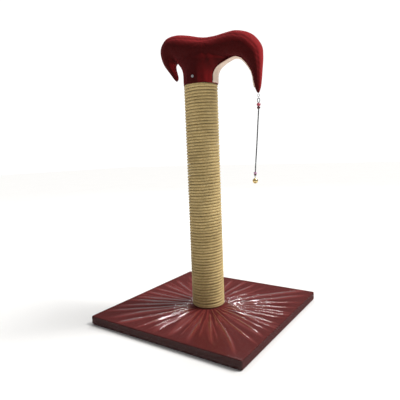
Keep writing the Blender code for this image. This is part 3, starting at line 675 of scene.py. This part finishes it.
class CATPOST_OT_rope(bpy.types.Operator):
    """Three-strand sisal rope wound round the tube, with loose fibres"""

    bl_idname = "catpost.rope"
    bl_label = "Wound Rope"

    def execute(self, context):
        post = context.scene.catpost_post
        path = rope_path(post.rope_pitch)
        count = len(path)
        travelled = arc_lengths(path)
        outward = path * (1, 1, 0)
        outward /= np.linalg.norm(outward, axis=1)[:, None]
        angles = np.radians([-150, -118, -94, -72, -50, -30, -10, 10, 30, 50, 72, 94, 118, 150])
        lobes = np.cos(3 * angles[None, :] - math.tau * travelled[:, None] / (post.strand_lay / 3))
        rng = np.random.RandomState(3)
        wander = 1 + 0.03 * np.sin(travelled * 61 + 1.7) * np.sin(travelled * 23)
        reach = (1 - 0.16 * (1 - lobes) / 2) * wander[:, None]
        out = (ROPE_HALF_DEPTH * np.cos(angles) * reach)[:, :, None]
        up = (ROPE_HALF_HEIGHT * np.sin(angles) * reach)[:, :, None]
        points = path[:, None, :] + outward[:, None, :] * out + np.array([0, 0, 1.0]) * up
        sides = len(angles)
        faces = grid_faces(count, sides, close_columns=True)
        around = np.concatenate([angles, [angles[0] + math.tau]])
        twist = math.tau * travelled / post.strand_lay
        uvs = []
        for i in range(count - 1):
            for k in range(sides):
                for row, column in ((i, k), (i, k + 1), (i + 1, k + 1), (i + 1, k)):
                    uvs.append((around[column] - twist[row], travelled[row] * 60))
        flat = [tuple(p) for p in points.reshape(-1, 3)]
        faces.append(tuple(range(sides)))
        faces.append(tuple((count - 1) * sides + k for k in range(sides))[::-1])
        uvs += [(0.0, 0.0)] * (2 * sides)
        rope = add_mesh("rope_winding", flat, faces, np.array(uvs) * (0.16, 1))
        face_outwards(rope)
        paint(rope, sisal("sisal_rope"))
        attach(rope, "stand")
        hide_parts("rope_wrap")
        self.fibres(path, outward, post.fibre_count, rng)
        return {"FINISHED"}

    def fibres(self, path, outward, count, rng):
        """Thin bent hairs that stand off the rope."""
        points, faces = [], []
        for _ in range(count):
            i = rng.randint(10, len(path) - 10)
            out, along = Vector(outward[i]), Vector(path[i + 1] - path[i]).normalized()
            lift = rng.uniform(-0.8, 0.8)
            foot = Vector(path[i]) + (out * math.cos(lift) + Vector((0, 0, 1)) * math.sin(lift)) * 3.7 * MM
            lean = along * rng.uniform(-1, 1)
            lean += Vector((0, 0, rng.uniform(-0.7, 0.7)))
            lean += out * rng.uniform(0.25, 0.7)
            lean.normalize()
            length = rng.uniform(2, 5.5) * MM
            side = lean.cross(Vector((0.3, 0.2, 1))).normalized() * 0.07 * MM
            first = len(points)
            for step in range(4):
                t = step / 3
                middle = foot + lean * length * t - Vector((0, 0, 1)) * length * 0.25 * t * t
                thin = 1 - 0.7 * t
                points += [middle + side * thin, middle - side * thin, middle + out * 0.1 * MM * thin]
            for step in range(3):
                a = first + step * 3
                for k in range(3):
                    m = (k + 1) % 3
                    faces.append((a + k, a + m, a + 3 + m, a + 3 + k))
        hairs = add_mesh("rope_fibres", points, faces)
        finish = Finish("loose_fibre", (0.62, 0.50, 0.27), 0.7)
        finish.colour(finish.ramp(finish.noise(90), ((0.3, (0.42, 0.31, 0.14)), (0.7, (0.74, 0.62, 0.36)))))
        paint(hairs, finish)
        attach(hairs, "stand")


class CATPOST_OT_inner_parts(bpy.types.Operator):
    """Finishes of the board, tube, plugs, core and metal parts"""

    bl_idname = "catpost.inner_parts"
    bl_label = "Inner Parts"

    def execute(self, context):
        paint("base_board", chips("pressed_chips"))
        card = wooden("wound_card", (0.47, 0.38, 0.28), (0.36, 0.28, 0.20), (1, 1, 14), 22)
        paint("post_tube", card)
        pine = wooden("sawn_pine", (0.66, 0.48, 0.27), (0.46, 0.29, 0.14), (6, 1, 1))
        for node in ("lower_plug", "upper_plug"):
            paint(node, pine)
        paint("topper_core", wooden("plywood_edge", (0.62, 0.45, 0.26), (0.40, 0.26, 0.13), (1, 12, 1)))
        wadding = Finish("wadding", (0.82, 0.81, 0.77), 0.95, sheen_weight=0.3, sheen_roughness=0.5)
        fluff = wadding.noise(160, 5.0, 0.7)
        wadding.colour(wadding.ramp(fluff, ((0.3, (0.70, 0.69, 0.65)), (0.7, (0.88, 0.87, 0.84)))))
        wadding.bump(fluff, 1.5 * MM, 0.8)
        paint("topper_padding", wadding)
        steel = metal("zinc_steel", (0.60, 0.60, 0.62), 0.32)
        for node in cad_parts:
            if any(word in node for word in ("screw", "staple", "pin_", "bolt", "washer", "nut", "tack")):
                paint(node, steel)
        return {"FINISHED"}


# ---------------------------------------------------------------- pieces: topper


def horn_stations(steps=4):
    """Smooth sections along the horns: outer point, inner point and half depth, in metres."""
    return catmull(np.array(HORN_LINE) * MM, steps)


def oval_ring(middle, across, half, depth, sides):
    """Points of an oval section of the horns."""
    ring = []
    for k in range(sides):
        angle = math.tau * k / sides
        flat = middle + across * half * math.cos(angle)
        ring.append((flat[0], depth * math.sin(angle), NECK_RIM + flat[1]))
    return ring


def lofted(name, rings):
    sides = len(rings[0])
    points = [p for ring in rings for p in ring]
    faces = grid_faces(len(rings), sides, close_columns=True)
    faces += [tuple(range(sides)), tuple((len(rings) - 1) * sides + k for k in range(sides))]
    made = add_mesh(name, points, faces)
    face_outwards(made)
    return made


def topper_blank(inset):
    """The horns and the neck as two closed forms in one object, and the surface of each."""
    rings = []
    for station in horn_stations():
        outer, inner, depth = station[:2], station[2:4], station[4]
        across = outer - inner
        half = np.linalg.norm(across) / 2
        slim, shallow = max(half - inset, MM), max(depth - inset, MM)
        rings.append(oval_ring((outer + inner) / 2, across / (2 * half), slim, shallow, 36))
    horns = lofted("topper_blank", rings)
    surfaces = [surface_of(horns)]
    rings = []
    for height, middle, half, depth in catmull(np.array(NECK_LINE) * MM, 3):
        ring = []
        for k in range(48):
            angle = math.tau * k / 48
            x, y = middle + (half - inset) * math.cos(angle), (depth - inset) * math.sin(angle)
            ring.append((x, y, NECK_RIM + height))
        rings.append(ring)
    neck = lofted("neck_blank", rings)
    surfaces.append(surface_of(neck))
    bm = bmesh.new()
    bm.from_mesh(horns.data)
    bm.from_mesh(neck.data)
    bm.to_mesh(horns.data)
    bm.free()
    bpy.data.objects.remove(neck)
    return horns, surfaces


def surface_of(made):
    bm = bmesh.new()
    bm.from_mesh(made.data)
    surface = BVHTree.FromBMesh(bm)
    bm.free()
    return surface


def filled_out(made, surfaces):
    """Moves what smoothing drew in back out to the surfaces that it was made from."""
    points, outward = coordinates(made.data), normals(made.data)
    for i, (point, way) in enumerate(zip(points, outward)):
        depth = 1.0
        for surface in surfaces:
            near, near_normal, _, far = surface.find_nearest(Vector(point))
            inside = (Vector(point) - near).dot(near_normal) < 0
            depth = min(depth, -far if inside else far)
        if depth < 0:
            points[i] = point - way * max(depth, -3.5 * MM)
    set_coordinates(made.data, points)


def coordinates(mesh):
    flat = np.empty(len(mesh.vertices) * 3)
    mesh.vertices.foreach_get("co", flat)
    return flat.reshape(-1, 3)


def set_coordinates(mesh, points):
    mesh.vertices.foreach_set("co", np.asarray(points, float).ravel())
    mesh.update()


def normals(mesh):
    flat = np.empty(len(mesh.vertices) * 3)
    mesh.vertices.foreach_get("normal", flat)
    return flat.reshape(-1, 3)


def stuff(made, cap, pinned):
    """Lets stuffing pressure push the cloth out, by at most cap, with the pinned points held."""
    group = made.vertex_groups.new(name="held")
    group.add([int(i) for i in np.nonzero(pinned)[0]], 1.0, "REPLACE")
    start = coordinates(made.data)
    cloth = made.modifiers.new("Cloth", "CLOTH")
    settings = cloth.settings
    settings.quality = 5
    settings.mass = 0.3
    settings.tension_stiffness = 12
    settings.compression_stiffness = 8
    settings.shear_stiffness = 4
    settings.bending_stiffness = 0.3
    settings.use_pressure = True
    settings.uniform_pressure_force = 4
    settings.vertex_group_mass = "held"
    settings.effector_weights.gravity = 0
    cloth.point_cache.frame_start = 1
    cloth.point_cache.frame_end = 20
    scene = bpy.context.scene
    for frame in range(1, 21):
        scene.frame_set(frame)
    graph = bpy.context.evaluated_depsgraph_get()
    moved = coordinates(made.evaluated_get(graph).data)
    made.modifiers.remove(cloth)
    scene.frame_set(1)
    shift = moved - start
    length = np.linalg.norm(shift, axis=1)
    shift *= np.minimum(1, cap / np.maximum(length, 1e-9))[:, None]
    set_coordinates(made.data, start + shift)


def nearest_station(points):
    """For each point: half depth of the nearest section, how far along the horns that is, and how far out."""
    stations = horn_stations(6)
    outer, inner = stations[:, :2], stations[:, 2:4]
    flat = np.column_stack([points[:, 0], points[:, 2] - NECK_RIM])
    best, depth, place, crown = [np.full(len(points), v) for v in (1e9, 0.0, 0.0, 0.0)]
    for i in range(len(stations)):
        run = outer[i] - inner[i]
        t = np.clip(((flat - inner[i]) @ run) / (run @ run), 0, 1)
        gap = np.linalg.norm(flat - inner[i] - t[:, None] * run, axis=1)
        near = gap < best
        best[near], crown[near] = gap[near], t[near]
        depth[near], place[near] = stations[i, 4], i / (len(stations) - 1)
    return depth, place, crown


def seam_offset(depth, seam_half):
    """Half width of the gusset where the horns are that deep."""
    return np.minimum(seam_half, 0.86 * depth)


class CATPOST_OT_topper(bpy.types.Operator):
    """Stuffed velour topper with two horns, sewn from two panels and a gusset"""

    bl_idname = "catpost.topper"
    bl_label = "Topper"

    def execute(self, context):
        topper = context.scene.catpost_topper
        made, surfaces = topper_blank(topper.inset)
        made.name = "topper_plush"
        step = made.modifiers.new("Remesh", "REMESH")
        step.mode = "VOXEL"
        step.voxel_size = topper.voxel
        step = made.modifiers.new("Smooth", "SMOOTH")
        step.factor = 0.5
        step.iterations = 7
        apply_modifiers(made)
        filled_out(made, surfaces)
        points = coordinates(made.data)
        _, place, _ = nearest_station(points)
        held = (points[:, 2] < NECK_RIM + 16 * MM) & (np.abs(points[:, 0]) < 46 * MM)
        held |= (place < 0.06) | (place > 0.92)
        stuff(made, topper.swell, held)
        filled_out(made, surfaces)
        step = made.modifiers.new("Finer", "SUBSURF")
        step.levels = step.render_levels = 1
        apply_modifiers(made)
        self.sew(made, topper.seam_half)
        self.trim(made)
        made.data.transform(Matrix.Rotation(TOPPER_TURN, 4, "Z"))
        # Painted light and shade: the pile is coloured lighter on the top and right, which face the key
        # light, and darker on the front.
        finish = velour("dark_red_velour", tuple(topper.dark), tuple(topper.light), 0.30,
                        painted_light_way=(0.72, 0.22, 0.66), span=(0.0, 0.66))
        paint(made, finish)
        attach(made, "stand")
        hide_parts("topper_cover", "topper_padding")
        return {"FINISHED"}

    def sew(self, made, seam_half):
        """Draws the seams in, puckers the cloth beside them and gathers it round the neck."""
        points, outward = coordinates(made.data), normals(made.data)
        depth, _, crown = nearest_station(points)
        rise = points[:, 2] - NECK_RIM
        on_neck = np.clip((30 * MM - rise) / (20 * MM), 0, 1) * (np.abs(points[:, 0]) < 52 * MM)
        seam = seam_offset(depth, seam_half) * (1 - on_neck) + seam_half * on_neck
        gap = np.abs(np.abs(points[:, 1]) - seam)
        angle = np.arctan2(points[:, 2] - NECK_RIM - 85 * MM, points[:, 0] - 20 * MM)
        groove = -0.45 * MM * np.exp(-(gap / (1.5 * MM)) ** 2)
        swell = 0.12 * MM * np.exp(-((gap - 4.5 * MM) / (2.5 * MM)) ** 2)
        stitches = np.sin(points[:, 0] * 560 + points[:, 2] * 610)
        pucker = 0.09 * MM * stitches * np.exp(-(gap / (6 * MM)) ** 2)
        fade = np.clip((depth - 6 * MM) / (6 * MM), 0, 1)
        outside = np.clip((crown - 0.35) / 0.25, 0, 1)
        push = (groove + swell + pucker) * fade * outside
        around = np.arctan2(points[:, 1], points[:, 0])
        low = np.clip(1 - rise / (34 * MM), 0, 1) * (np.abs(points[:, 0]) < 50 * MM)
        gathers = np.sin(around * 17 + 0.8 * np.sin(around * 3))
        push += 0.5 * MM * low * gathers * (1 - np.clip(1 - rise / (6 * MM), 0, 1) * 0.6)
        crease = np.sin(angle * 9 + 1.3 * np.sin(angle * 4 + points[:, 1] * 40))
        push += 0.35 * MM * crease * np.clip((60 * MM - np.abs(rise - 62 * MM)) / (60 * MM), 0, 1) * fade
        set_coordinates(made.data, points + outward * push[:, None])

    def trim(self, made):
        """Ends the neck in an uneven hem over the rope's shoulder, and gives the cloth its thickness."""
        bm = bmesh.new()
        bm.from_mesh(made.data)
        level = NECK_RIM - NECK_HEM_DROP
        bmesh.ops.bisect_plane(bm, geom=bm.verts[:] + bm.edges[:] + bm.faces[:], plane_co=(0, 0, level),
                               plane_no=(0, 0, -1), clear_outer=False, clear_inner=False)
        middles = [(face, face.calc_center_median()) for face in bm.faces]
        low = [face for face, middle in middles if middle.z < level and middle.xy.length < 60 * MM]
        bmesh.ops.delete(bm, geom=low, context="FACES")
        for vert in bm.verts:
            if vert.co.z < level + 6 * MM and vert.co.xy.length < 60 * MM:
                around = math.atan2(vert.co.y, vert.co.x)
                drop = 0.55 * math.sin(5 * around + 0.6) + 0.35 * math.sin(11 * around)
                vert.co.z += drop * MM * (1 - (vert.co.z - level) / (6 * MM))
        bm.to_mesh(made.data)
        bm.free()
        step = made.modifiers.new("Cloth Thickness", "SOLIDIFY")
        step.thickness = VELOUR_THICK
        step.offset = -1
        apply_modifiers(made)


def lining_rows():
    """Places under the arch, from the neck's rim to near the long horn's tip.

    Each is the middle of the section, the way out, the lining's half width and how far out to look from.
    """
    places = []
    for height, middle, half, _ in catmull(np.array(NECK_LINE[1:5]) * MM, 6)[:-4]:
        places.append((np.array([middle, height - 1.2 * MM]), np.array([1.0, 0.0]), half, half))
    for station in horn_stations(6)[LONG_HORN * 6 + 4:-12]:
        outer, inner, depth = station[:2], station[2:4], station[4]
        way = (inner - outer) / np.linalg.norm(inner - outer)
        places.append(((outer + inner) / 2, way, depth, np.linalg.norm(inner - outer) / 2))
    edge = np.array([middle + way * thick for middle, way, _, thick in places])
    wide = np.interp(arc_lengths(edge) / MM, *zip(*LINING_HALF)) * MM
    return [(middle, way, min(float(w), 0.72 * depth), thick + 12 * MM)
            for (middle, way, depth, thick), w in zip(places, wide)]


class CATPOST_OT_lining(bpy.types.Operator):
    """Cream strip sewn along the underside of the arch, with a seam at each edge"""

    bl_idname = "catpost.lining"
    bl_label = "Arch Lining"

    def execute(self, context):
        plush = bpy.data.objects["topper_plush"]
        mesh = plush.data.copy()
        mesh.transform(Matrix.Rotation(-TOPPER_TURN, 4, "Z"))
        bm = bmesh.new()
        bm.from_mesh(mesh)
        surface = BVHTree.FromBMesh(bm)
        bm.free()
        bpy.data.meshes.remove(mesh)
        columns = 27
        grid = []
        for middle, way, wide, reach in lining_rows():
            row = []
            for k in range(columns):
                across = wide * (2 * k / (columns - 1) - 1)
                far = middle + way * reach
                start = Vector((far[0], across, NECK_RIM + far[1]))
                hit, face_normal, _, _ = surface.ray_cast(start, Vector((-way[0], 0, -way[1])))
                if hit is None:
                    hit, face_normal = row[-1] if row else (start, Vector((way[0], 0, way[1])))
                row.append((hit, face_normal))
            grid.append(row)
        points = np.array([[tuple(hit) for hit, _ in row] for row in grid])
        for _ in range(4):
            points[1:-1] = points[1:-1] * 0.5 + (points[:-2] + points[2:]) * 0.25
        ways = np.array([[way[0], 0, way[1]] for _, way, _, _ in lining_rows()])[:, None, :]
        edge = np.abs(np.linspace(-1, 1, columns))[None, :, None]
        points = points + ways * (1.7 * MM - 1.2 * MM * edge ** 8)
        ripple = 0.25 * MM * np.sin(np.arange(len(points)) * 0.9)[:, None, None] * edge ** 4
        points = points + ways * ripple
        strip = add_mesh("lining_strip", points.reshape(-1, 3), grid_faces(len(points), columns))
        face_outwards(strip)
        step = strip.modifiers.new("Thickness", "SOLIDIFY")
        step.thickness = 0.9 * MM
        step.offset = 0
        step = strip.modifiers.new("Finer", "SUBSURF")
        step.levels = step.render_levels = 1
        apply_modifiers(strip)
        strip.data.transform(Matrix.Rotation(TOPPER_TURN, 4, "Z"))
        cream = Finish("cream_lining", (0.80, 0.62, 0.49), 0.85, sheen_weight=0.35, sheen_roughness=0.5)
        nap = cream.noise(60, 3.0, 0.6)
        grain = cream.noise(1500, 2.0, 0.6)
        cream.colour(cream.ramp(nap, ((0.3, (0.66, 0.48, 0.37)), (0.7, (0.86, 0.70, 0.57)))))
        cream.bump(grain, 0.3 * MM, 0.8)
        paint(strip, cream)
        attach(strip, "stand")
        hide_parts("topper_lining")
        # Painted light and shade: the seam welts are coloured lighter where they face up towards the key
        # light and darker elsewhere.
        welt = velour("welt_velour", (0.07, 0.003, 0.005), (0.12, 0.005, 0.009), 0.4)
        for name, column in (("front", 0), ("back", columns - 1)):
            line = evenly(catmull([turn_topper(p) for p in points[:, column]], 3), 220)
            cord = tube("lining_seam_" + name, line, 0.95 * MM, 10, 2, 0.25, 5 * MM)
            paint(cord, welt)
            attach(cord, "stand")
        return {"FINISHED"}


# ---------------------------------------------------------------- pieces: base


# The main creases in the base's film: direction in degrees, how much further round it starts, start and end
# from the post's axis, height and half width, in millimetres.
MAIN_CREASES = (
    (50, -27, 42, 285, 3.6, 3.4), (40, -36, 42, 262, 3.4, 3.2), (62, -8, 44, 150, 1.8, 3.6),
    (78, -4, 44, 190, 1.9, 3.0), (29, -18, 44, 235, 1.9, 2.4), (21, -12, 44, 222, 2.1, 2.4),
    (12, -10, 44, 214, 2.2, 2.2), (2, -8, 44, 205, 2.0, 2.4), (-9, -7, 44, 210, 2.5, 2.3),
    (-18, -6, 46, 214, 1.9, 2.2), (-26, -4, 60, 230, 1.7, 2.4), (-35, -3, 44, 246, 2.4, 2.2),
    (-46, -3, 44, 270, 2.5, 2.2), (-55, -2, 60, 225, 1.6, 2.6), (-68, 0, 70, 215, 1.3, 3.4),
    (-82, 0, 60, 200, 1.3, 4.0), (-97, 2, 55, 200, 1.5, 3.6), (-109, 4, 46, 208, 2.2, 3.0),
    (-120, 6, 44, 222, 2.4, 3.0), (-121, 0, 168, 232, 3.2, 3.4), (-130, 8, 42, 250, 2.7, 3.4),
    (-139, 9, 42, 268, 2.6, 3.2), (-148, 9, 42, 240, 2.8, 3.4), (-157, 9, 42, 224, 2.7, 3.2),
    (-166, 8, 42, 212, 2.6, 3.4), (-176, 7, 42, 208, 2.5, 3.2), (173, 6, 42, 206, 2.5, 3.2),
    (162, 5, 44, 208, 2.4, 3.2), (150, 4, 44, 218, 2.3, 3.0), (139, 2, 44, 240, 2.2, 3.0),
    (127, 0, 44, 226, 2.1, 2.8), (114, -1, 44, 206, 2.0, 2.8), (102, -2, 44, 200, 2.0, 2.8),
    (90, -3, 44, 198, 1.9, 2.8),
)


def base_creases(seed):
    """The main creases, with small ones scattered between them."""
    rng = np.random.RandomState(seed)
    creases = list(MAIN_CREASES)
    for _ in range(110):
        start = rng.uniform(42, 130)
        creases.append((rng.uniform(-180, 180), rng.uniform(-4, 4), start, start + rng.uniform(40, 120),
                        rng.uniform(0.4, 1.2), rng.uniform(1.0, 2.2)))
    return creases


def crease_heights(angle, reach, seed):
    """Height of the folds in metres, at places given as arrays of direction and distance from the post."""
    total = np.zeros_like(reach)
    for direction, swing, start, end, height, width in base_creases(seed):
        turned = math.radians(direction) + math.radians(swing) * np.exp(-(reach - 36 * MM) / (32 * MM))
        gap = (angle - turned - 0.02 * np.sin(reach * 21 + direction) + math.pi) % math.tau - math.pi
        run = np.clip((reach / MM - start) / 18, 0, 1)
        run = run * np.clip((end - reach / MM) / (0.4 * (end - start)), 0, 1)
        run = run * run * (3 - 2 * run)
        spread = width * MM * (0.5 + reach / 0.24)
        total += height * MM * 0.6 * run * np.exp(-(np.abs(gap) * reach / spread) ** 1.5)
    gathers = np.sin(angle * 34 + 2.2 * np.sin(angle * 3 + 1) + reach * 9)
    gathers = gathers + 0.6 * np.sin(angle * 57 + 1.4 * np.sin(angle * 2))
    total += 0.55 * MM * gathers * np.exp(-(reach - 44 * MM) / (48 * MM))
    return total


def base_outline(angle, half, corner):
    """Distance from the middle to a rounded square's edge in each direction."""
    power = half / corner * 4
    cos, sin = np.abs(np.cos(angle)), np.abs(np.sin(angle))
    return half / (cos ** power + sin ** power) ** (1 / power)


def edge_ripples(place, rng, count=26):
    """Small random waves along the base's edge."""
    total = np.zeros_like(place)
    for _ in range(count):
        size = rng.uniform(0.1, 1.0)
        away = (place - rng.uniform(0, 1) + 0.5) % 1.0 - 0.5
        total += size * np.exp(-away ** 2 / rng.uniform(2e-6, 3e-5))
    return total


def base_skin(name, half, top, bottom, corner, edge, waver, share, around, seed, under=None):
    """A sheet stretched over the board: creased top, rounded edge, sides and, with under, a turned-in hem.

    share is how much of each crease it shows, and waver is the size of its broad waves.
    """
    angle = np.linspace(-math.pi, math.pi, around, endpoint=False)
    rng = np.random.RandomState(seed + 1)
    outline = base_outline(angle, half, corner)
    inner = 34 * MM
    rings, folds = [], []
    fractions = np.linspace(0, 1, 44) ** 1.15
    flat_end = outline - edge
    ripple = edge_ripples((angle + math.pi) / math.tau, rng)
    for t in fractions:
        reach = inner + (flat_end - inner) * t
        folds.append(crease_heights(angle, reach, seed) / CREASE_UNIT)
        lift = folds[-1] * CREASE_UNIT * 1.25 * share
        lift += ripple * 0.5 * MM * share * np.clip((t - 0.8) / 0.2, 0, 1)
        lift *= np.clip((reach - 39.5 * MM) / (9 * MM), 0, 1)
        lift += waver * 0.25 * np.sin(reach * 90 + angle * 3)
        height = np.full(around, top) + lift * (1 - 0.6 * np.clip((t - 0.9) / 0.1, 0, 1))
        rings.append((reach, height))
    last_lift = rings[-1][1] - top
    for k in range(1, 6):
        turn = math.pi / 2 * k / 5
        height = top + last_lift * math.cos(turn) - edge * (1 - math.cos(turn))
        rings.append((flat_end + edge * math.sin(turn), height))
    side_rows = 9
    low = bottom + (edge if under else 0)
    wave = np.sin(angle * 37 + 2 * np.sin(angle * 5)) * 0.5 + np.sin(angle * 83 + 1.0) * 0.3
    for k in range(1, side_rows + 1):
        t = k / side_rows
        belly = math.sin(math.pi * t)
        pleat = -0.9 * MM * math.exp(-((t - 0.52) / 0.09) ** 2)
        rings.append((outline + share * (pleat + 0.25 * MM * wave * belly + ripple * 0.35 * MM * (1 - t)),
                      np.full(around, top - edge + (low - top + edge) * t)))
    if under:
        for k in range(1, 5):
            turn = math.pi / 2 * k / 4
            height = np.full(around, low - edge * math.sin(turn))
            rings.append((outline - edge * (1 - math.cos(turn)), height))
        for k in range(1, 6):
            t = k / 5
            rings.append((outline - edge - (under - edge) * t, np.full(around, bottom)))
    points = []
    for reach, height in rings:
        points.append(np.column_stack([reach * np.cos(angle), reach * np.sin(angle), height]))
    points = np.array(points)
    made = add_mesh(name, points.reshape(-1, 3), grid_faces(len(rings), around, close_columns=True))
    folds += [folds[-1] * 0.25] * (len(rings) - len(folds))
    # The fold heights are kept as an attribute; from it the cover paints shade in the valleys and light on
    # the crests, and the film shows more reflection on the crests.
    attribute = made.data.attributes.new("fold", "FLOAT", "POINT")
    attribute.data.foreach_set("value", np.array(folds, np.float32).ravel())
    face_outwards(made)
    return made


class CATPOST_OT_base_cover(bpy.types.Operator):
    """Velour over the board, gathered a little by the film and turned under as a hem"""

    bl_idname = "catpost.base_cover"
    bl_label = "Base Cover"

    def execute(self, context):
        base = context.scene.catpost_base
        _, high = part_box("base_cover")
        made = base_skin("base_velour", high.x, high.z, bottom=1.2 * MM, corner=5 * MM, edge=2.5 * MM,
                         waver=0.6 * MM, share=base.cover_fold, around=base.around, seed=base.seed,
                         under=30 * MM)
        step = made.modifiers.new("Cloth Thickness", "SOLIDIFY")
        step.thickness = VELOUR_THICK
        step.offset = -1
        apply_modifiers(made)
        points = coordinates(made.data)
        set_coordinates(made.data, points - (0, 0, min(points[:, 2].min(), 0.0)))
        # Painted light and shade: the pile is coloured lighter on the top, which faces the key light, and
        # darker on the sides.
        finish = velour("base_velour_finish", (0.062, 0.009, 0.007), (0.195, 0.029, 0.027), 0.10,
                        painted_light_way=(0.25, -0.05, 1.0), span=(0.1, 1.05))
        # Painted shade in the crease valleys and painted light on the crests, from the fold heights.
        fold = finish.add("ShaderNodeAttribute", attribute_name="fold").outputs["Fac"]
        valley_shade, flat, crest = (0.50, 0.46, 0.46), (0.92, 0.92, 0.92), (1.25, 1.25, 1.25)
        shade = finish.ramp(fold, ((0.0, valley_shade), (0.16, flat), (0.75, crest)))
        tone = finish.shader.inputs["Base Color"].links[0].from_socket
        finish.colour(finish.mix(1.0, tone, shade, "MULTIPLY"))
        paint(made, finish)
        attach(made, "stand")
        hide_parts("base_cover")
        return {"FINISHED"}


class CATPOST_OT_base_film(bpy.types.Operator):
    """Clear stretch film drawn in to the foot of the post in sharp creases"""

    bl_idname = "catpost.base_film"
    bl_label = "Base Film"

    def execute(self, context):
        base = context.scene.catpost_base
        low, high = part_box("base_film")
        made = base_skin("base_film_creased", high.x, high.z, bottom=low.z, corner=4.5 * MM, edge=2.5 * MM,
                         waver=0.9 * MM, share=1.0, around=base.around, seed=base.seed)
        finish = Finish("clear_film", (0.92, 0.86, 0.87), 0.10, 1.0)
        # The film shows more of its mirror on the crests: partly the real haze of film doubled over in a
        # fold, partly painted reflection along the creases.
        fold = finish.add("ShaderNodeAttribute", attribute_name="fold").outputs["Fac"]
        crest = finish.ramp(fold, ((0.0, 0.018), (0.35, 0.08), (0.8, 0.38)))
        finish.link(crest, finish.shader.inputs["Alpha"])
        haze = finish.noise(34, 4.0, 0.6)
        finish.roughness(finish.ramp(haze, ((0.35, 0.05), (0.7, 0.22))))
        finish.bump(finish.noise(260, 3.0, 0.6), 0.25 * MM, 0.5)
        paint(made, finish)
        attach(made, "stand")
        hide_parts("base_film")
        return {"FINISHED"}


# ---------------------------------------------------------------- stage


class CATPOST_OT_camera(bpy.types.Operator):
    """Camera a little above the middle of the post, turned towards its front corner"""

    bl_idname = "catpost.camera"
    bl_label = "Camera"

    def execute(self, context):
        stage = context.scene.catpost_stage
        data = bpy.data.cameras.new("camera")
        data.lens = stage.lens
        data.sensor_width = 36
        made = bpy.data.objects.new("camera", data)
        made.location = stage.camera_place
        made.rotation_euler = [math.radians(a) for a in stage.camera_turn]
        context.scene.collection.objects.link(made)
        context.scene.camera = made
        return {"FINISHED"}


def area_light(name, place, target, size, power):
    """A rectangular light at place, turned towards target."""
    data = bpy.data.lights.new(name, "AREA")
    data.shape = "RECTANGLE"
    data.size, data.size_y = size
    data.energy = power
    made = bpy.data.objects.new(name, data)
    made.location = place
    made.rotation_euler = (Vector(target) - Vector(place)).to_track_quat("-Z", "Y").to_euler()
    bpy.context.scene.collection.objects.link(made)
    return made


class CATPOST_OT_stage(bpy.types.Operator):
    """Pale floor, a high key light, a window light behind and a soft surrounding light"""

    bl_idname = "catpost.stage"
    bl_label = "Floor and Light"

    def execute(self, context):
        stage = context.scene.catpost_stage
        context.scene.view_settings.view_transform = "Standard"
        far = 12.0
        corners = [(-far, -far, 0), (far, -far, 0), (far, far, 0), (-far, far, 0)]
        floor = add_mesh("floor", corners, [(0, 1, 2, 3)])
        floor.location.z = -FLOOR_GAP
        finish = Finish("pale_floor", (0.95, 0.95, 0.95), 0.9)
        finish.colour(finish.ramp(finish.noise(3.0), ((0.3, 0.94), (0.7, 0.96))))
        floor.data.materials.append(finish.material)
        world = bpy.data.worlds.new("soft_studio")
        world.use_nodes = True
        tree = world.node_tree
        seen = tree.nodes["Background"]
        seen.inputs["Strength"].default_value = 1.1
        lit = tree.nodes.new("ShaderNodeBackground")
        lit.inputs["Strength"].default_value = stage.sky
        path = tree.nodes.new("ShaderNodeLightPath")
        choice = tree.nodes.new("ShaderNodeMixShader")
        for shader in (seen, lit):
            shader.inputs["Color"].default_value = (1.0, 1.0, 1.0, 1.0)
        tree.links.new(path.outputs["Is Camera Ray"], choice.inputs["Fac"])
        tree.links.new(lit.outputs[0], choice.inputs[1])
        tree.links.new(seen.outputs[0], choice.inputs[2])
        tree.links.new(choice.outputs[0], tree.nodes["World Output"].inputs["Surface"])
        context.scene.world = world
        data = bpy.data.lights.new("key", "SUN")
        data.energy = stage.key_strength
        data.angle = math.radians(24)
        data.color = (1.0, 0.985, 0.96)
        key = bpy.data.objects.new("key", data)
        key.rotation_euler = Vector(stage.key_from).to_track_quat("Z", "Y").to_euler()
        context.scene.collection.objects.link(key)
        area_light("window", (-0.85, 1.75, 2.0), (0, 0, 0.02), (0.8, 0.4), stage.window_power)
        return {"FINISHED"}


# ---------------------------------------------------------------- add-on


class CATPOST_PT_panel(bpy.types.Panel):
    """Sizes of the scratching post and the steps that build it"""

    bl_label = "Cat Post"
    bl_idname = "CATPOST_PT_panel"
    bl_space_type = "VIEW_3D"
    bl_region_type = "UI"
    bl_category = "Cat Post"

    def draw(self, context):
        for name, group in SETTINGS.items():
            settings = getattr(context.scene, name)
            box = self.layout.box()
            for key in group.__annotations__:
                box.prop(settings, key)
        for step in STEPS:
            self.layout.operator(step.bl_idname)


SETTINGS = {
    "catpost_stage": StageSettings,
    "catpost_toy": ToySettings,
    "catpost_post": PostSettings,
    "catpost_topper": TopperSettings,
    "catpost_base": BaseSettings,
}
STEPS = (
    CATPOST_OT_camera,
    CATPOST_OT_beads,
    CATPOST_OT_bell,
    CATPOST_OT_toy_cord,
    CATPOST_OT_inner_parts,
    CATPOST_OT_rope,
    CATPOST_OT_topper,
    CATPOST_OT_lining,
    CATPOST_OT_base_cover,
    CATPOST_OT_base_film,
    CATPOST_OT_stage,
)


def register():
    for item in (*SETTINGS.values(), *STEPS, CATPOST_PT_panel):
        bpy.utils.register_class(item)
    for name, group in SETTINGS.items():
        setattr(bpy.types.Scene, name, bpy.props.PointerProperty(type=group))


def unregister():
    for name in SETTINGS:
        delattr(bpy.types.Scene, name)
    for item in (CATPOST_PT_panel, *reversed(STEPS), *reversed(list(SETTINGS.values()))):
        bpy.utils.unregister_class(item)


def main():
    register()
    for step in STEPS:
        group, name = step.bl_idname.split(".")
        getattr(getattr(bpy.ops, group), name)()
    bpy.context.view_layer.update()


if __name__ == "__main__":
    main()
